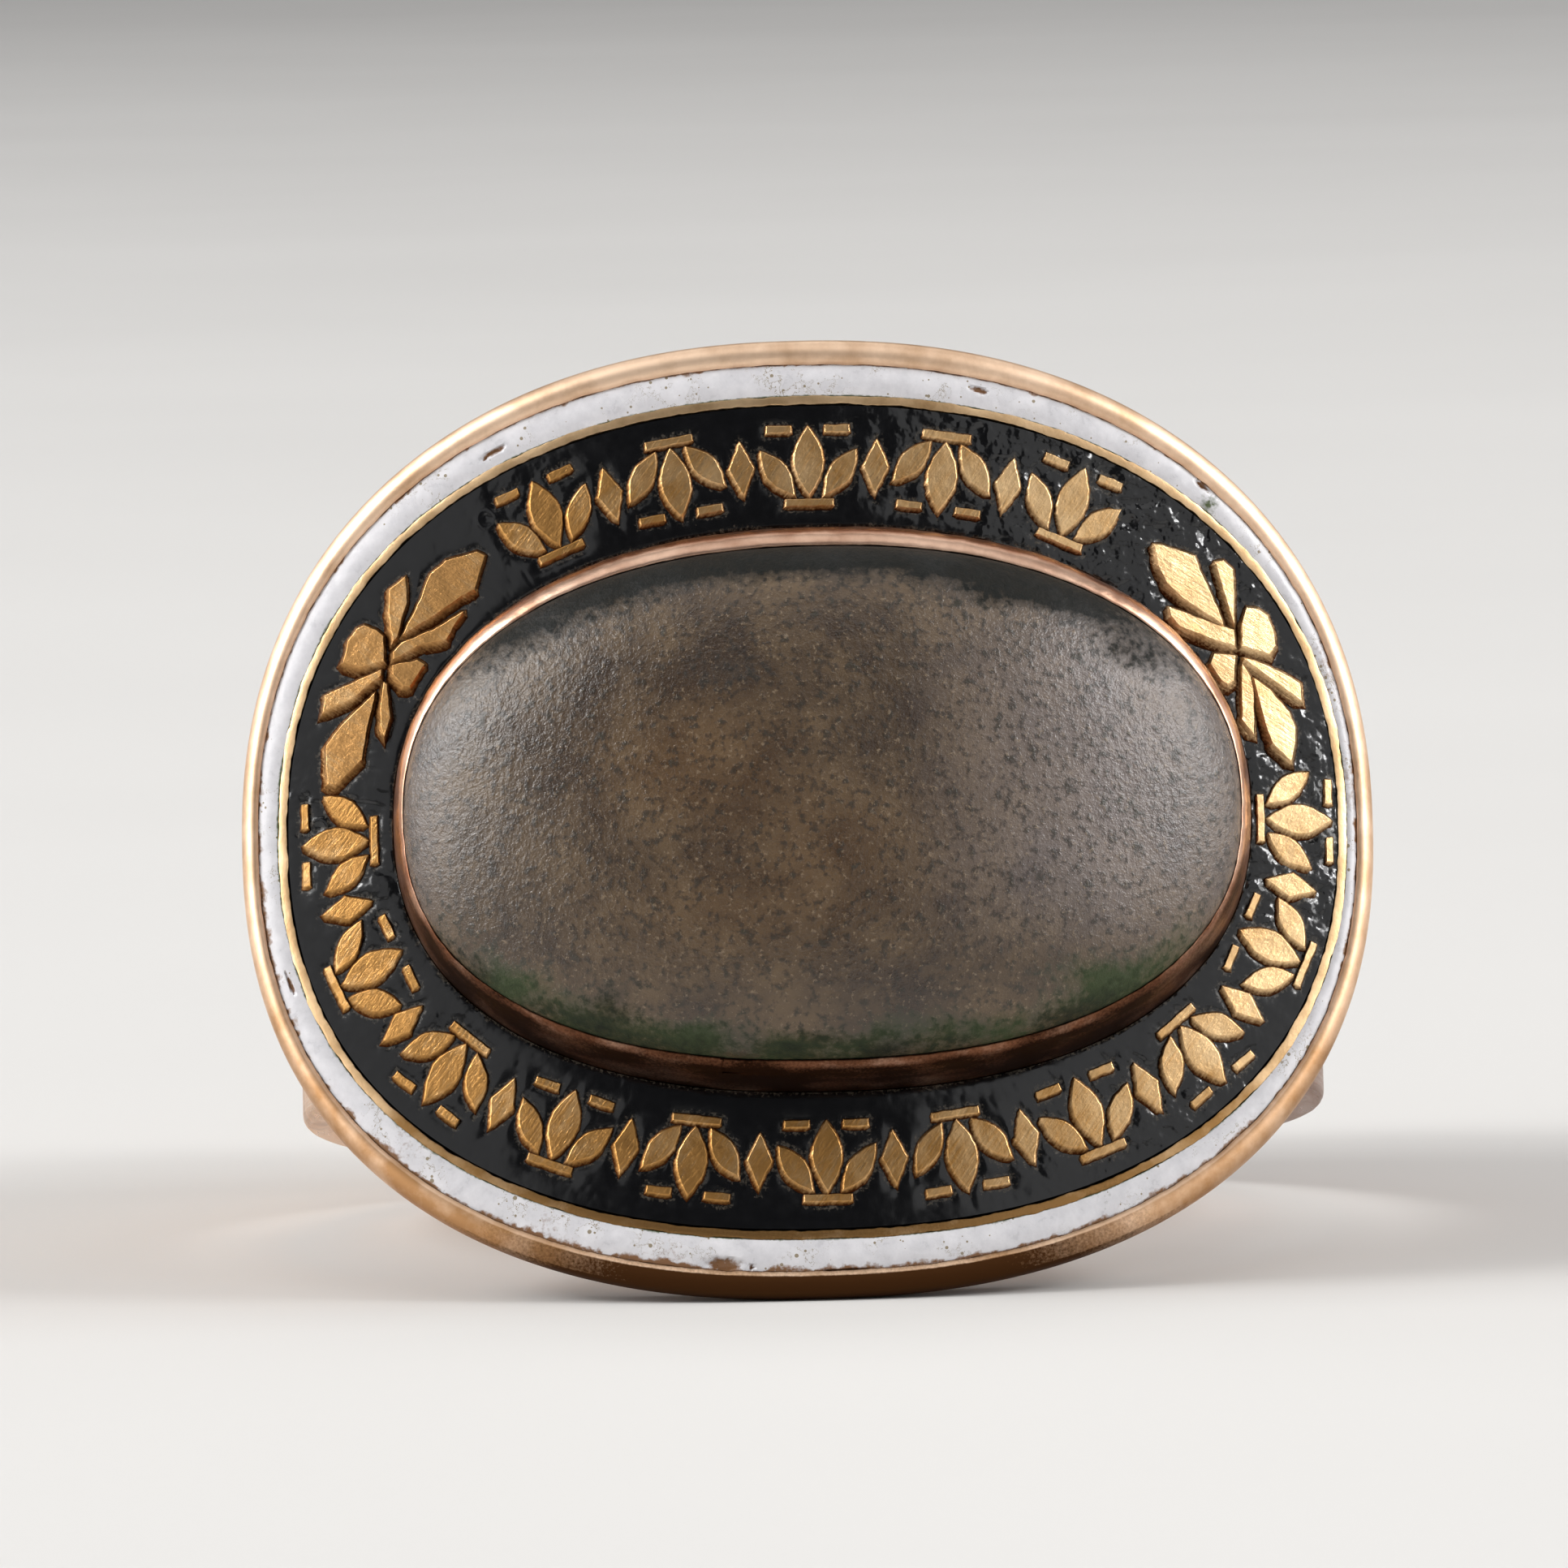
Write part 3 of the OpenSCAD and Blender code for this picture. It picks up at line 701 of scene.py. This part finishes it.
# Its dirt colour also paints the shade in the walls and cuts.
sprig_gold = worn_gold("carved_gold_of_the_sprigs", "#f0cb98", "#b98b55", "#3e1e0a", 0.32,
                       streak=(0.45, 0.045), cuts=0.7, grain=0.5, turned=35, dents=1.1)
for name, table, side in (("left_sprig", LEFT_SPRIG, -1), ("right_sprig", RIGHT_SPRIG, 1)):
    sprig = bmesh.new()
    for leaf in table.values():
        reserved(sprig, [(side * x, y) for x, y in leaf], side * sprig_from_top, 0.2, carved_rise)
    close_rims(sprig)
    fitted(name, sprig, sprig_gold, "gold_frame", flat_crease)

# Collar
# A strip of gold bent to an oval, soldered upright on the plate, and burnished in over the stone. The
# turned-in lip is rosy and bright above, a thin pale line at the sides, and brown below, where the wall
# shows the layered marks of the burnisher.
# Section from outside to inside: inset, height, share of the way from the collar's oval to the stone's
COLLAR = [
    (0.00, -0.30, 0),
    (0.00, 0.00, 0),
    (0.07, 0.48, 0),
    (0.14, 0.82, 0),
    (0.20, 1.00, 0),
    (0.27, 1.11, 0.2),
    (0.35, 1.175, 0.6),
    (0.41, 1.20, 0.9),
    (0.44, 1.19, 1),
    (0.445, 1.10, 1),
    (0.445, 0.60, 1),
    (0.44, -0.30, 1),
]
# A nick in the lip: where the strip's two ends were joined
joint_x = -1.54
joint_drop = 0.07
# Height from which the wall is burnished over and counts as lip, and over how much it turns pale
lip_from = 1.04
lip_turn = 0.1
collar_crease = 50


def collar_point(share, row):
    """Point of the collar, whose lip wavers a little, with how dark and brown it is there: darker and browner
    towards the bottom, the lip paler towards the top.
    """
    inset, height, inner = row
    half = collar_half - narrowing * inset
    shift = collar_shift * (1 - inner) + stone_shift * inner
    x, y = on_oval(share, half, shift)
    shake = 0.012 * mottle(x, y, 1, 0.9) + 0.01 * mottle(x, y, 2 + 3 * inset, 0.2) if 0 < height else 0
    x, y = on_oval(share, half + Vector((shake, shake)), shift)
    upward = (y - shift.y) / half.y
    dip = abs(0.02 * mottle(x, y, 3, 1.3)) if height > 1 else 0
    if height > 0.9 and upward < 0 and x > joint_x:
        dip += joint_drop * clamped(1 - (x - joint_x) / 1.2)
    lip = clamped((height - lip_from) / lip_turn)
    blots = 0.25 * mottle(x, y, 4 + 1.5 * height, 0.8) + 0.15 * mottle(x, y, 5 + 8 * height, 0.6)
    # Darker and browner towards the bottom, wall and lip alike, and the lip paler towards the top.
    dirt_and_shade = (0.6 - 0.5 * lip) * clamped(0.85 - 0.25 * upward) + blots
    dirt_and_shade += (0.28 + 0.3 * lip) * clamped(-upward * 1.6)
    tarnish_and_shade = 1.0 - 0.85 * lip * clamped(0.7 + upward) + 2 * blots
    return Vector((x, y, face_z(x) + height - dip)), dirt_and_shade if inset < 0.44 else 1.2, tarnish_and_shade


collar = bmesh.new()
foot, inside = ([Vector(row) for row in rows] for rows in (COLLAR[:1], COLLAR[9:]))
collar_rows = foot + flowing(COLLAR[1:9], 3) + inside
rolled(collar, stations, collar_rows + [collar_rows[0]], collar_point, 1.8)
collar_gold = worn_gold("burnished_gold_of_the_collar", "#e8c2a8", "#99664a", "#2a170d", 0.3,
                        streak=(1.6, 0.05), cuts=0.9, grain=0.2, layered=1.5)
fitted("collar", collar, collar_gold, "gold_frame", collar_crease)

# White enamel border
# Opaque white glass fused into the sloping outer trough and stoned smooth. It is a cool pale grey with
# small brown and green pits. Its outer edge is nibbled away and stained brown, and a green-black line of
# copper stain follows the thin gold line.
enamel_rows = 16
white_crown = 0.035
chip_depth = 0.06
nibble_reach = 0.12
# Chips along the outer edge, where brown metal shows: place x and y, length along, width across
CHIPS = [
    (-1.59, -7.62, 0.35, 0.14),
    (0.43, -7.80, 0.55, 0.05),
    (-1.13, -7.68, 0.05, 0.05),
    (3.10, 7.30, 0.22, 0.06),
    (-5.20, 6.50, 0.30, 0.06),
    (6.90, 5.70, 0.16, 0.05),
    (9.10, 2.90, 0.30, 0.08),
    (-8.90, -2.40, 0.25, 0.04),
]
# Stains on the white enamel: x, y, radius, brown, green. The two at the right end are partly stain and partly
# a painted reflection of the gold rim beside them.
STAINS = [
    (7.01, 5.39, 0.20, 0.10, 0.75),
    # Right end: brown that is partly stain and partly painted reflection of the rim's gold
    (9.30, 2.60, 0.90, 0.50, 0.00),
    (9.45, 0.60, 0.90, 0.45, 0.00),
    (-4.60, -6.90, 0.45, 0.40, 0.00),
    (-6.90, -5.30, 0.60, 0.35, 0.00),
    (-2.60, -7.50, 0.60, 0.40, 0.05),
    (4.90, -6.60, 0.30, 0.00, 0.30),
    (8.30, -3.60, 0.90, 0.30, 0.10),
]


def chipped(x, y):
    """How far a place on the white enamel is chipped away, from 0 to 1."""
    depth = 0
    for cx, cy, length, width in CHIPS:
        way = Vector((-cy / rim_half.y ** 2, cx / rim_half.x ** 2)).normalized()
        off = Vector((x - cx, y - cy))
        along, across = off.dot(way) / length, (off.x * way.y - off.y * way.x) / width
        depth = max(depth, 1 - math.hypot(along, across) + 0.35 * mottle(x, y, 11, 0.09))
    return clamped(depth * 2.5)


def white_point(share, row):
    """Point of the white enamel, between the rim and the thin line, with its brown and green stains."""
    across, height, skin = row
    half = rim_half * (1 - across) + white_half * across
    x, y = on_oval(share, half, line_shift * across)
    shake = 0.02 * skin * (1 - across) ** 4 * mottle(x, y, 1, 0.22)
    x, y = on_oval(share, half + Vector((shake, shake)), line_shift * across)
    gone = chipped(x, y) * skin
    wave = skin * (0.007 * mottle(x, y, 2, 0.5) + 0.004 * mottle(x, y, 3, 0.12))
    width = (rim_half - white_half).dot(Vector((abs(x), abs(y))).normalized())
    from_rim, from_line = across * width, (1 - across) * width
    bitten = clamped(mottle(x, y, 4, 0.5) + 0.8 * mottle(x, y, 5, 0.13) + 0.05 - y / 18)
    nibble = 0.012 + nibble_reach * bitten
    brown = 0.9 * clamped(1.4 - from_rim / nibble)
    green = 0.9 * clamped(1.6 - from_line / (0.022 + 0.02 * mottle(x, y, 6, 0.4)))
    for sx, sy, radius, browned, greened in STAINS:
        near = math.exp(-((x - sx) ** 2 + (y - sy) ** 2) / radius ** 2) * (1 + 0.6 * mottle(x, y, 7, 0.15))
        brown, green = brown + browned * near, green + greened * near
    return Vector((x, y, face_z(x) + height + wave - chip_depth * gone)), max(gone, brown), green


white_rows = [(0, trough_floor, 0), (0, -border_fall - 0.02, 0)]
for k in range(enamel_rows + 1):
    across = k / enamel_rows
    crown = white_crown * math.sin(math.pi * across)
    white_rows.append((across, -border_fall * 0.1 * (1 - across) + crown - 0.008, 1))
white_rows += [(1, -0.02, 0), (1, deep, 0), (0, trough_floor, 0)]


def white_enamel_glass():
    """Opaque white enamel: glassy but stoned and worn, so its gloss is soft. Tin-white with a cool
    cast, faint mottling, pinhole pits that have filled with brown, and stains from dirt and copper."""
    material, tree = new_material("opaque_white_enamel")
    place = add(tree, "TexCoord", out="Object")
    blots = add(tree, "TexNoise",
                {"Vector": place, "Scale": 1 / (0.35 * MM), "Detail": 5, "Roughness": 0.65})
    base = add(tree, "Mix", {0: blots, 6: hue("#b0afb3"), 7: hue("#e6e4e6")}, out=2, data_type="RGBA")
    pits = add(tree, "TexVoronoi", {"Vector": place, "Scale": 1 / (0.16 * MM), "Randomness": 1})
    patches = add(tree, "TexNoise", {"Vector": place, "Scale": 1 / (0.7 * MM), "Detail": 3})
    pit_reach = add(tree, "MapRange",
                    {"Value": patches, "From Min": 0.44, "From Max": 0.7, "To Min": 0.02, "To Max": 0.26})
    pitted = add(tree, "Math", {0: pits, 1: pit_reach}, operation="LESS_THAN")
    from_level = add(tree, "Math", {0: blots, 1: 0.5}, operation="SUBTRACT")
    off_level = add(tree, "Math", {0: from_level}, operation="ABSOLUTE")
    crack_reach = add(tree, "MapRange",
                      {"Value": patches, "From Min": 0.52, "From Max": 0.72, "To Max": 0.011})
    cracked = add(tree, "Math", {0: off_level, 1: crack_reach}, operation="LESS_THAN")
    spoiled = add(tree, "Math", {0: pitted, 1: cracked}, operation="MAXIMUM")
    hole = add(tree, "Mix", {0: spoiled, 6: base, 7: hue("#8b7f6a")}, out=2, data_type="RGBA")
    crumb = add(tree, "TexNoise", {"Vector": place, "Scale": 1 / (0.06 * MM), "Detail": 3})
    coloured = hole
    for mark, code in (("dirt_and_shade", "#7a5433"), ("verdigris", "#45502a")):
        settled_and_shaded = add(tree, "Attribute", out="Fac", attribute_name=mark)
        patchy = add(tree, "Math", {0: settled_and_shaded, 1: crumb}, operation="ADD")
        grime_and_shade = add(tree, "MapRange", {"Value": patchy, "From Min": 0.85, "From Max": 1.4})
        coloured = add(tree, "Mix", {0: grime_and_shade, 6: coloured, 7: hue(code)}, out=2, data_type="RGBA")
    relief = add(tree, "Bump", {"Height": blots, "Strength": 0.4, "Distance": 0.02 * MM})
    worn = add(tree, "MapRange",
               {"Value": blots, "From Min": 0.3, "From Max": 0.7, "To Min": 0.22, "To Max": 0.5})
    glass = add(tree, "BsdfPrincipled",
                {"Base Color": coloured, "Roughness": worn, "Normal": relief, "IOR": 1.52})
    add(tree, "OutputMaterial", {"Surface": glass})
    return material


white = bmesh.new()
rolled(white, stations, white_rows, white_point, 0.6, ("dirt_and_shade", "verdigris"))
fitted("white_border", white, white_enamel_glass(), "white_enamel")

# Black enamel band
# Opaque black glass fused into the inner trough, level with the gold. It is smooth and glossy along the
# bottom. At the upper right it is lumpy, with burst bubbles, and glints. Crumbs of dirt cling to it
# along the gold and at the collar's foot.
band_rows = 42
shrink_depth = 0.03
shrink_reach = 0.1
# Lumpy places on the black enamel: x, y, radius, strength
LUMPY = [
    (3.6, 6.2, 1.9, 0.65),
    (5.8, 5.3, 1.9, 1.00),
    (7.2, 4.2, 1.3, 0.60),
    (8.5, 0.6, 1.7, 0.85),
    (8.3, -1.6, 1.4, 0.65),
    (6.4, -4.6, 1.5, 0.60),
    (-8.2, 0.6, 1.0, 0.50),
    (-7.2, -1.0, 1.2, 0.40),
    (-6.4, -3.4, 1.2, 0.30),
    (-4.6, 5.6, 1.2, 0.35),
    (4.6, -5.6, 1.3, 0.45),
    (1.0, 6.4, 1.2, 0.35),
]
# Burst bubbles, which left a round rim: x, y, radius
BUBBLES = [
    (5.62, 5.02, 0.17),
    (4.95, 6.02, 0.13),
    (5.95, 4.55, 0.10),
    (3.10, 6.62, 0.14),
    (8.05, -0.95, 0.12),
    (6.75, -4.05, 0.11),
    (-8.35, 0.25, 0.13),
    (-5.35, 5.35, 0.15),
]
edge_dirt = kdtree.KDTree(len(gold_edges))
for i, point in enumerate(gold_edges):
    edge_dirt.insert((point.x, point.y, 0), i)
edge_dirt.balance()


def lumpy(x, y):
    """How lumpy the black enamel is at a place, from 0 to 1."""
    return clamped(sum(strength * math.exp(-((x - cx) ** 2 + (y - cy) ** 2) / radius ** 2)
                       for cx, cy, radius, strength in LUMPY))


def black_point(share, row):
    """Point of the black enamel, with low waves everywhere, pits and lumps, and how crusted it is."""
    across, height, skin = row
    half, shift = band_oval(across)
    x, y = on_oval(share, half, shift)
    rough = lumpy(x, y)
    wave = 0.006 * mottle(x, y, 4, 0.8)
    pit = -(0.008 + 0.035 * rough) * max(0, mottle(x, y, 6, 0.14 + 0.08 * rough) - 0.15)
    swell = 0.045 * rough * mottle(x, y, 8, 0.36) + 0.012 * rough * mottle(x, y, 9, 0.17)
    burst = 0
    for bx, by, radius in BUBBLES:
        reach = math.hypot(x - bx, y - by) / radius
        burst += 0.018 * math.exp(-((reach - 1) / 0.3) ** 2) - 0.015 * math.exp(-(reach / 0.6) ** 2)
    from_gold = min(edge_dirt.find((x, y, 0))[2], 2.0 * (1 - across))
    crust = clamped(1.15 - from_gold / (0.10 + 0.09 * mottle(x, y, 10, 0.6)))
    shrunk = shrink_depth * math.exp(-from_gold / shrink_reach)
    lift = skin * (wave + pit + swell + burst - shrunk)
    return Vector((x, y, face_z(x) + height + lift)), rough, crust


edge_share = fit_gap / (band_half.y - collar_half.y)
black_rows = [(edge_share, deep, 0), (edge_share, -0.03, 0)]
for k in range(band_rows):
    black_rows.append((edge_share + (1 - 2 * edge_share) * (k + 0.3) / (band_rows - 0.4), 0, 1))
black_rows += [(1 - edge_share, -0.03, 0), (1 - edge_share, deep, 0), (edge_share, deep, 0)]


def black_enamel_glass():
    """Opaque black enamel: deep black glass with a wet gloss, broken by fine scratches, grey specks and
    lumps, with grey-brown crumbs of dirt where it meets the gold."""
    material, tree = new_material("opaque_black_enamel")
    place = add(tree, "TexCoord", out="Object")
    rough = add(tree, "Attribute", out="Fac", attribute_name="lumpy")
    crust = add(tree, "Attribute", out="Fac", attribute_name="crust")
    fine = add(tree, "TexNoise",
               {"Vector": place, "Scale": 1 / (0.06 * MM), "Detail": 3, "Roughness": 0.6})
    swells = add(tree, "TexNoise", {"Vector": place, "Scale": 1 / (0.15 * MM), "Detail": 1})
    blots = add(tree, "TexNoise",
                {"Vector": place, "Scale": 1 / (0.22 * MM), "Detail": 4, "Roughness": 0.65})
    crumbs = add(tree, "Math", {0: crust, 1: 0.35, 2: fine}, operation="MULTIPLY_ADD")
    caked = add(tree, "MapRange", {"Value": crumbs, "From Min": 0.72, "From Max": 0.95, "To Max": 0.5})
    tone = add(tree, "Mix", {0: blots, 6: hue("#020202"), 7: hue("#09090b")}, out=2, data_type="RGBA")
    dusty = add(tree, "Mix", {0: caked, 6: tone, 7: hue("#5a5144")}, out=2, data_type="RGBA")
    hazed = add(tree, "MapRange",
                {"Value": blots, "From Min": 0.35, "From Max": 0.7, "To Min": 0.12, "To Max": 0.22})
    gloss = add(tree, "Math", {0: caked, 1: 0.5, 2: hazed}, operation="MULTIPLY_ADD")
    amount = add(tree, "MapRange",
                 {"Value": rough, "From Min": 0.1, "From Max": 0.9, "To Min": 0.03, "To Max": 1})
    relief = add(tree, "Bump", {"Height": swells, "Strength": amount, "Distance": 0.035 * MM})
    glass = add(tree, "BsdfPrincipled",
                {"Base Color": dusty, "Roughness": gloss, "Normal": relief, "IOR": 1.56})
    add(tree, "OutputMaterial", {"Surface": glass})
    return material


black = bmesh.new()
rolled(black, stations, black_rows, black_point, 2.2, ("lumpy", "crust"))
fitted("black_band", black, black_enamel_glass(), "black_enamel")

# Stone
# A long oval, low-domed stone, worn matt by handling, seated in the collar. It is a speckled brown,
# painted a paler grey as sheen over its right third and its left end, and glittering where light grazes
# its ends. A dark band along its upper edge is partly dirt and partly painted shadow of the collar's lip,
# and green verdigris from the gold's copper lies along the lower edge.
dome_rise = stone_high.z - face_z(stone_shift.x) - collar_rise
stone_steps = 720
# How far the upper dark band, part dirt and part painted shadow, and the verdigris reach in from the stone's
# edge
soot_and_shadow_reach = 0.50
green_reach = 0.32
DOME = [
    (1.00, -0.15),
    (1.00, 0.00),
    (0.98, 0.20),
    (0.93, 0.42),
    (0.85, 0.61),
    (0.74, 0.77),
    (0.60, 0.89),
    (0.42, 0.96),
    (0.20, 0.99),
    (0.00, 1.00),
]
# Marks on the stone: x, y, radius along, radius across, soot (near the upper edge also painted shadow),
# verdigris, ochre
MARKS = [
    (-1.25, 2.19, 0.75, 0.40, 0.35, 0.0, 0.0),
    (-5.10, 3.36, 0.60, 0.45, 0.35, 0.1, 0.0),
    (-2.00, 0.60, 1.60, 1.10, 0.00, 0.0, 0.6),
    (0.40, -0.70, 1.40, 0.90, 0.00, 0.0, 0.4),
    (-1.00, -1.90, 2.20, 0.80, 0.00, 0.0, 0.35),
    (-4.96, -2.93, 0.60, 0.30, 0.00, 0.6, 0.0),
    (-1.95, -3.90, 1.00, 0.25, 0.10, 0.5, 0.0),
    (2.04, -3.86, 1.00, 0.25, 0.10, 0.6, 0.0),
    (4.82, -3.04, 0.80, 0.35, 0.05, 0.7, 0.0),
    (-3.40, -3.40, 0.50, 0.40, 0.45, 0.3, 0.0),
    (0.20, -4.05, 0.90, 0.20, 0.35, 0.2, 0.0),
    (5.60, 2.40, 0.90, 0.35, 0.35, 0.1, 0.0),
    (3.60, 3.40, 1.60, 0.30, 0.45, 0.1, 0.0),
    (5.32, -0.11, 0.50, 0.60, 0.00, 0.1, 0.0),
]


def stone_point(share, row):
    """Point of the stone, with low hollows from wear; how dark it is with soot and painted shadow, how green
    and how ochre, and how much painted sheen it has there.
    """
    size, rise = row
    x, y = on_oval(share, stone_half * size, stone_shift)
    hollow = 0.012 * mottle(x, y, 3, 1.6) + 0.005 * mottle(x, y, 5, 0.35)
    if size > 0.97 or size < 0.02:
        hollow = 0
    edge = (1 - size) * stone_half.y
    upward = clamped(2.2 * ((y - stone_shift.y) / stone_half.y - 0.4))
    downward = clamped(2.2 * ((stone_shift.y - y) / stone_half.y - 0.3))
    ragged = 0.5 * mottle(x, y, 12, 0.7) + 0.3 * mottle(x, y, 13, 0.2)
    # Along the upper edge the stone is painted dark, partly soot and partly painted shadow of the collar's
    # lip.
    soot_and_shadow = 1.2 * upward * clamped(1.7 - edge / (soot_and_shadow_reach + 0.2 * ragged))
    green = 0.85 * downward * clamped(1.6 - edge / (green_reach + 0.24 * ragged))
    green *= clamped(0.65 + 0.9 * mottle(x, y, 14, 1.1))
    sooty = clamped(0.4 + 1.2 * mottle(x, y, 15, 1.3) + 0.5 * ragged)
    soot_and_shadow += 0.7 * downward * clamped(1.5 - edge / 0.2) * sooty
    ochre = 0
    for mx, my, long, wide, darker, greener, yellower in MARKS:
        near = math.exp(-((x - mx) / long) ** 2 - ((y - my) / wide) ** 2) * (1 + 0.5 * ragged)
        soot_and_shadow, green, ochre = soot_and_shadow + darker * near, green + greener * near, ochre + yellower * near
    # Painted sheen: paler grey over the right third and the left end, where side light grazes the stone.
    painted_sheen = clamped((x - 1.6) / 3.6) * (1 - 0.5 * clamped((x - 5.2) / 1.5)) + 0.4 * clamped((-x - 5.8) / 0.8)
    painted_sheen *= clamped(1.3 - 0.12 * (y - 0.5) ** 2) * (1 + 0.4 * ragged)
    return Vector((x, y, face_z(x) + collar_rise + rise * dome_rise + hollow)), soot_and_shadow, green, ochre, painted_sheen


def worn_stone():
    """A hardstone worn matt and finely pitted, so that it glitters in specks in grazing light. It is brown,
    mottled with darker and paler grains of a tenth of a millimetre, and scratched by wear."""
    material, tree = new_material("worn_mottled_stone")
    place = add(tree, "TexCoord", out="Object")
    clouds = add(tree, "TexNoise",
                 {"Vector": place, "Scale": 1 / (1.3 * MM), "Detail": 6, "Roughness": 0.62})
    blots = add(tree, "TexNoise",
                {"Vector": place, "Scale": 1 / (0.15 * MM), "Detail": 3, "Roughness": 0.6})
    grain = add(tree, "TexNoise",
                {"Vector": place, "Scale": 1 / (0.08 * MM), "Detail": 3, "Roughness": 0.7})
    cloudy = add(tree, "MapRange", {"Value": clouds, "From Min": 0.35, "From Max": 0.65})
    colour = add(tree, "Mix", {0: cloudy, 6: hue("#35281d"), 7: hue("#5a4832")}, out=2, data_type="RGBA")
    ochre = add(tree, "Attribute", out="Fac", attribute_name="ochre")
    yellowed = add(tree, "Math", {0: ochre, 1: blots}, operation="MULTIPLY")
    colour = add(tree, "Mix", {0: yellowed, 6: colour, 7: hue("#6b4a22")}, out=2, data_type="RGBA")
    # Painted sheen: the colour is mixed towards pale grey where this mark says.
    painted_sheen = add(tree, "Attribute", out="Fac", attribute_name="painted_sheen")
    sheen_share = add(tree, "Math", {0: painted_sheen, 1: 0.55}, operation="MULTIPLY", use_clamp=True)
    colour = add(tree, "Mix", {0: sheen_share, 6: colour, 7: hue("#857b79")}, out=2, data_type="RGBA")
    dark_grains = add(tree, "MapRange",
                      {"Value": blots, "From Min": 0.5, "From Max": 0.63, "To Max": 0.75})
    colour = add(tree, "Mix", {0: dark_grains, 6: colour, 7: hue("#231911")}, out=2, data_type="RGBA")
    pale_grains = add(tree, "MapRange",
                      {"Value": grain, "From Min": 0.58, "From Max": 0.7, "To Max": 0.6})
    colour = add(tree, "Mix", {0: pale_grains, 6: colour, 7: hue("#86745e")}, out=2, data_type="RGBA")
    matt = clouds
    for mark, code in (("verdigris", "#354028"), ("soot_and_shadow", "#0d100e")):
        settled_and_shaded = add(tree, "Attribute", out="Fac", attribute_name=mark)
        patchy = add(tree, "Math", {0: settled_and_shaded, 1: blots}, operation="ADD")
        covered = add(tree, "MapRange",
                      {"Value": patchy, "From Min": 0.6, "From Max": 1.4, "To Max": 0.95})
        colour = add(tree, "Mix", {0: covered, 6: colour, 7: hue(code)}, out=2, data_type="RGBA")
        matt = add(tree, "Math", {0: covered, 1: matt}, operation="ADD")
    worn = add(tree, "MapRange",
               {"Value": matt, "From Min": 0.3, "From Max": 1.5, "To Min": 0.24, "To Max": 0.6})
    gloss = add(tree, "MapRange",
                {"Value": matt, "From Min": 0.7, "From Max": 1.5, "To Min": 0.55, "To Max": 0.15})
    pitting = add(tree, "Math", {0: blots, 1: 1.2, 2: grain}, operation="MULTIPLY_ADD")
    relief = add(tree, "Bump", {"Height": pitting, "Strength": 1, "Distance": 0.018 * MM})
    body = add(tree, "BsdfPrincipled",
               {"Base Color": colour, "Roughness": worn, "Specular IOR Level": gloss, "Normal": relief,
                "IOR": 1.54})
    add(tree, "OutputMaterial", {"Surface": body})
    return material


stone = bmesh.new()
stone_rows = [(0.0, -0.15)] + flowing(DOME, 6)
rolled(stone, stone_steps, stone_rows, stone_point, 9.0, ("soot_and_shadow", "verdigris", "ochre", "painted_sheen"))
bmesh.ops.remove_doubles(stone, verts=stone.verts, dist=1e-4)
fitted("stone", stone, worn_stone(), "cabochon")
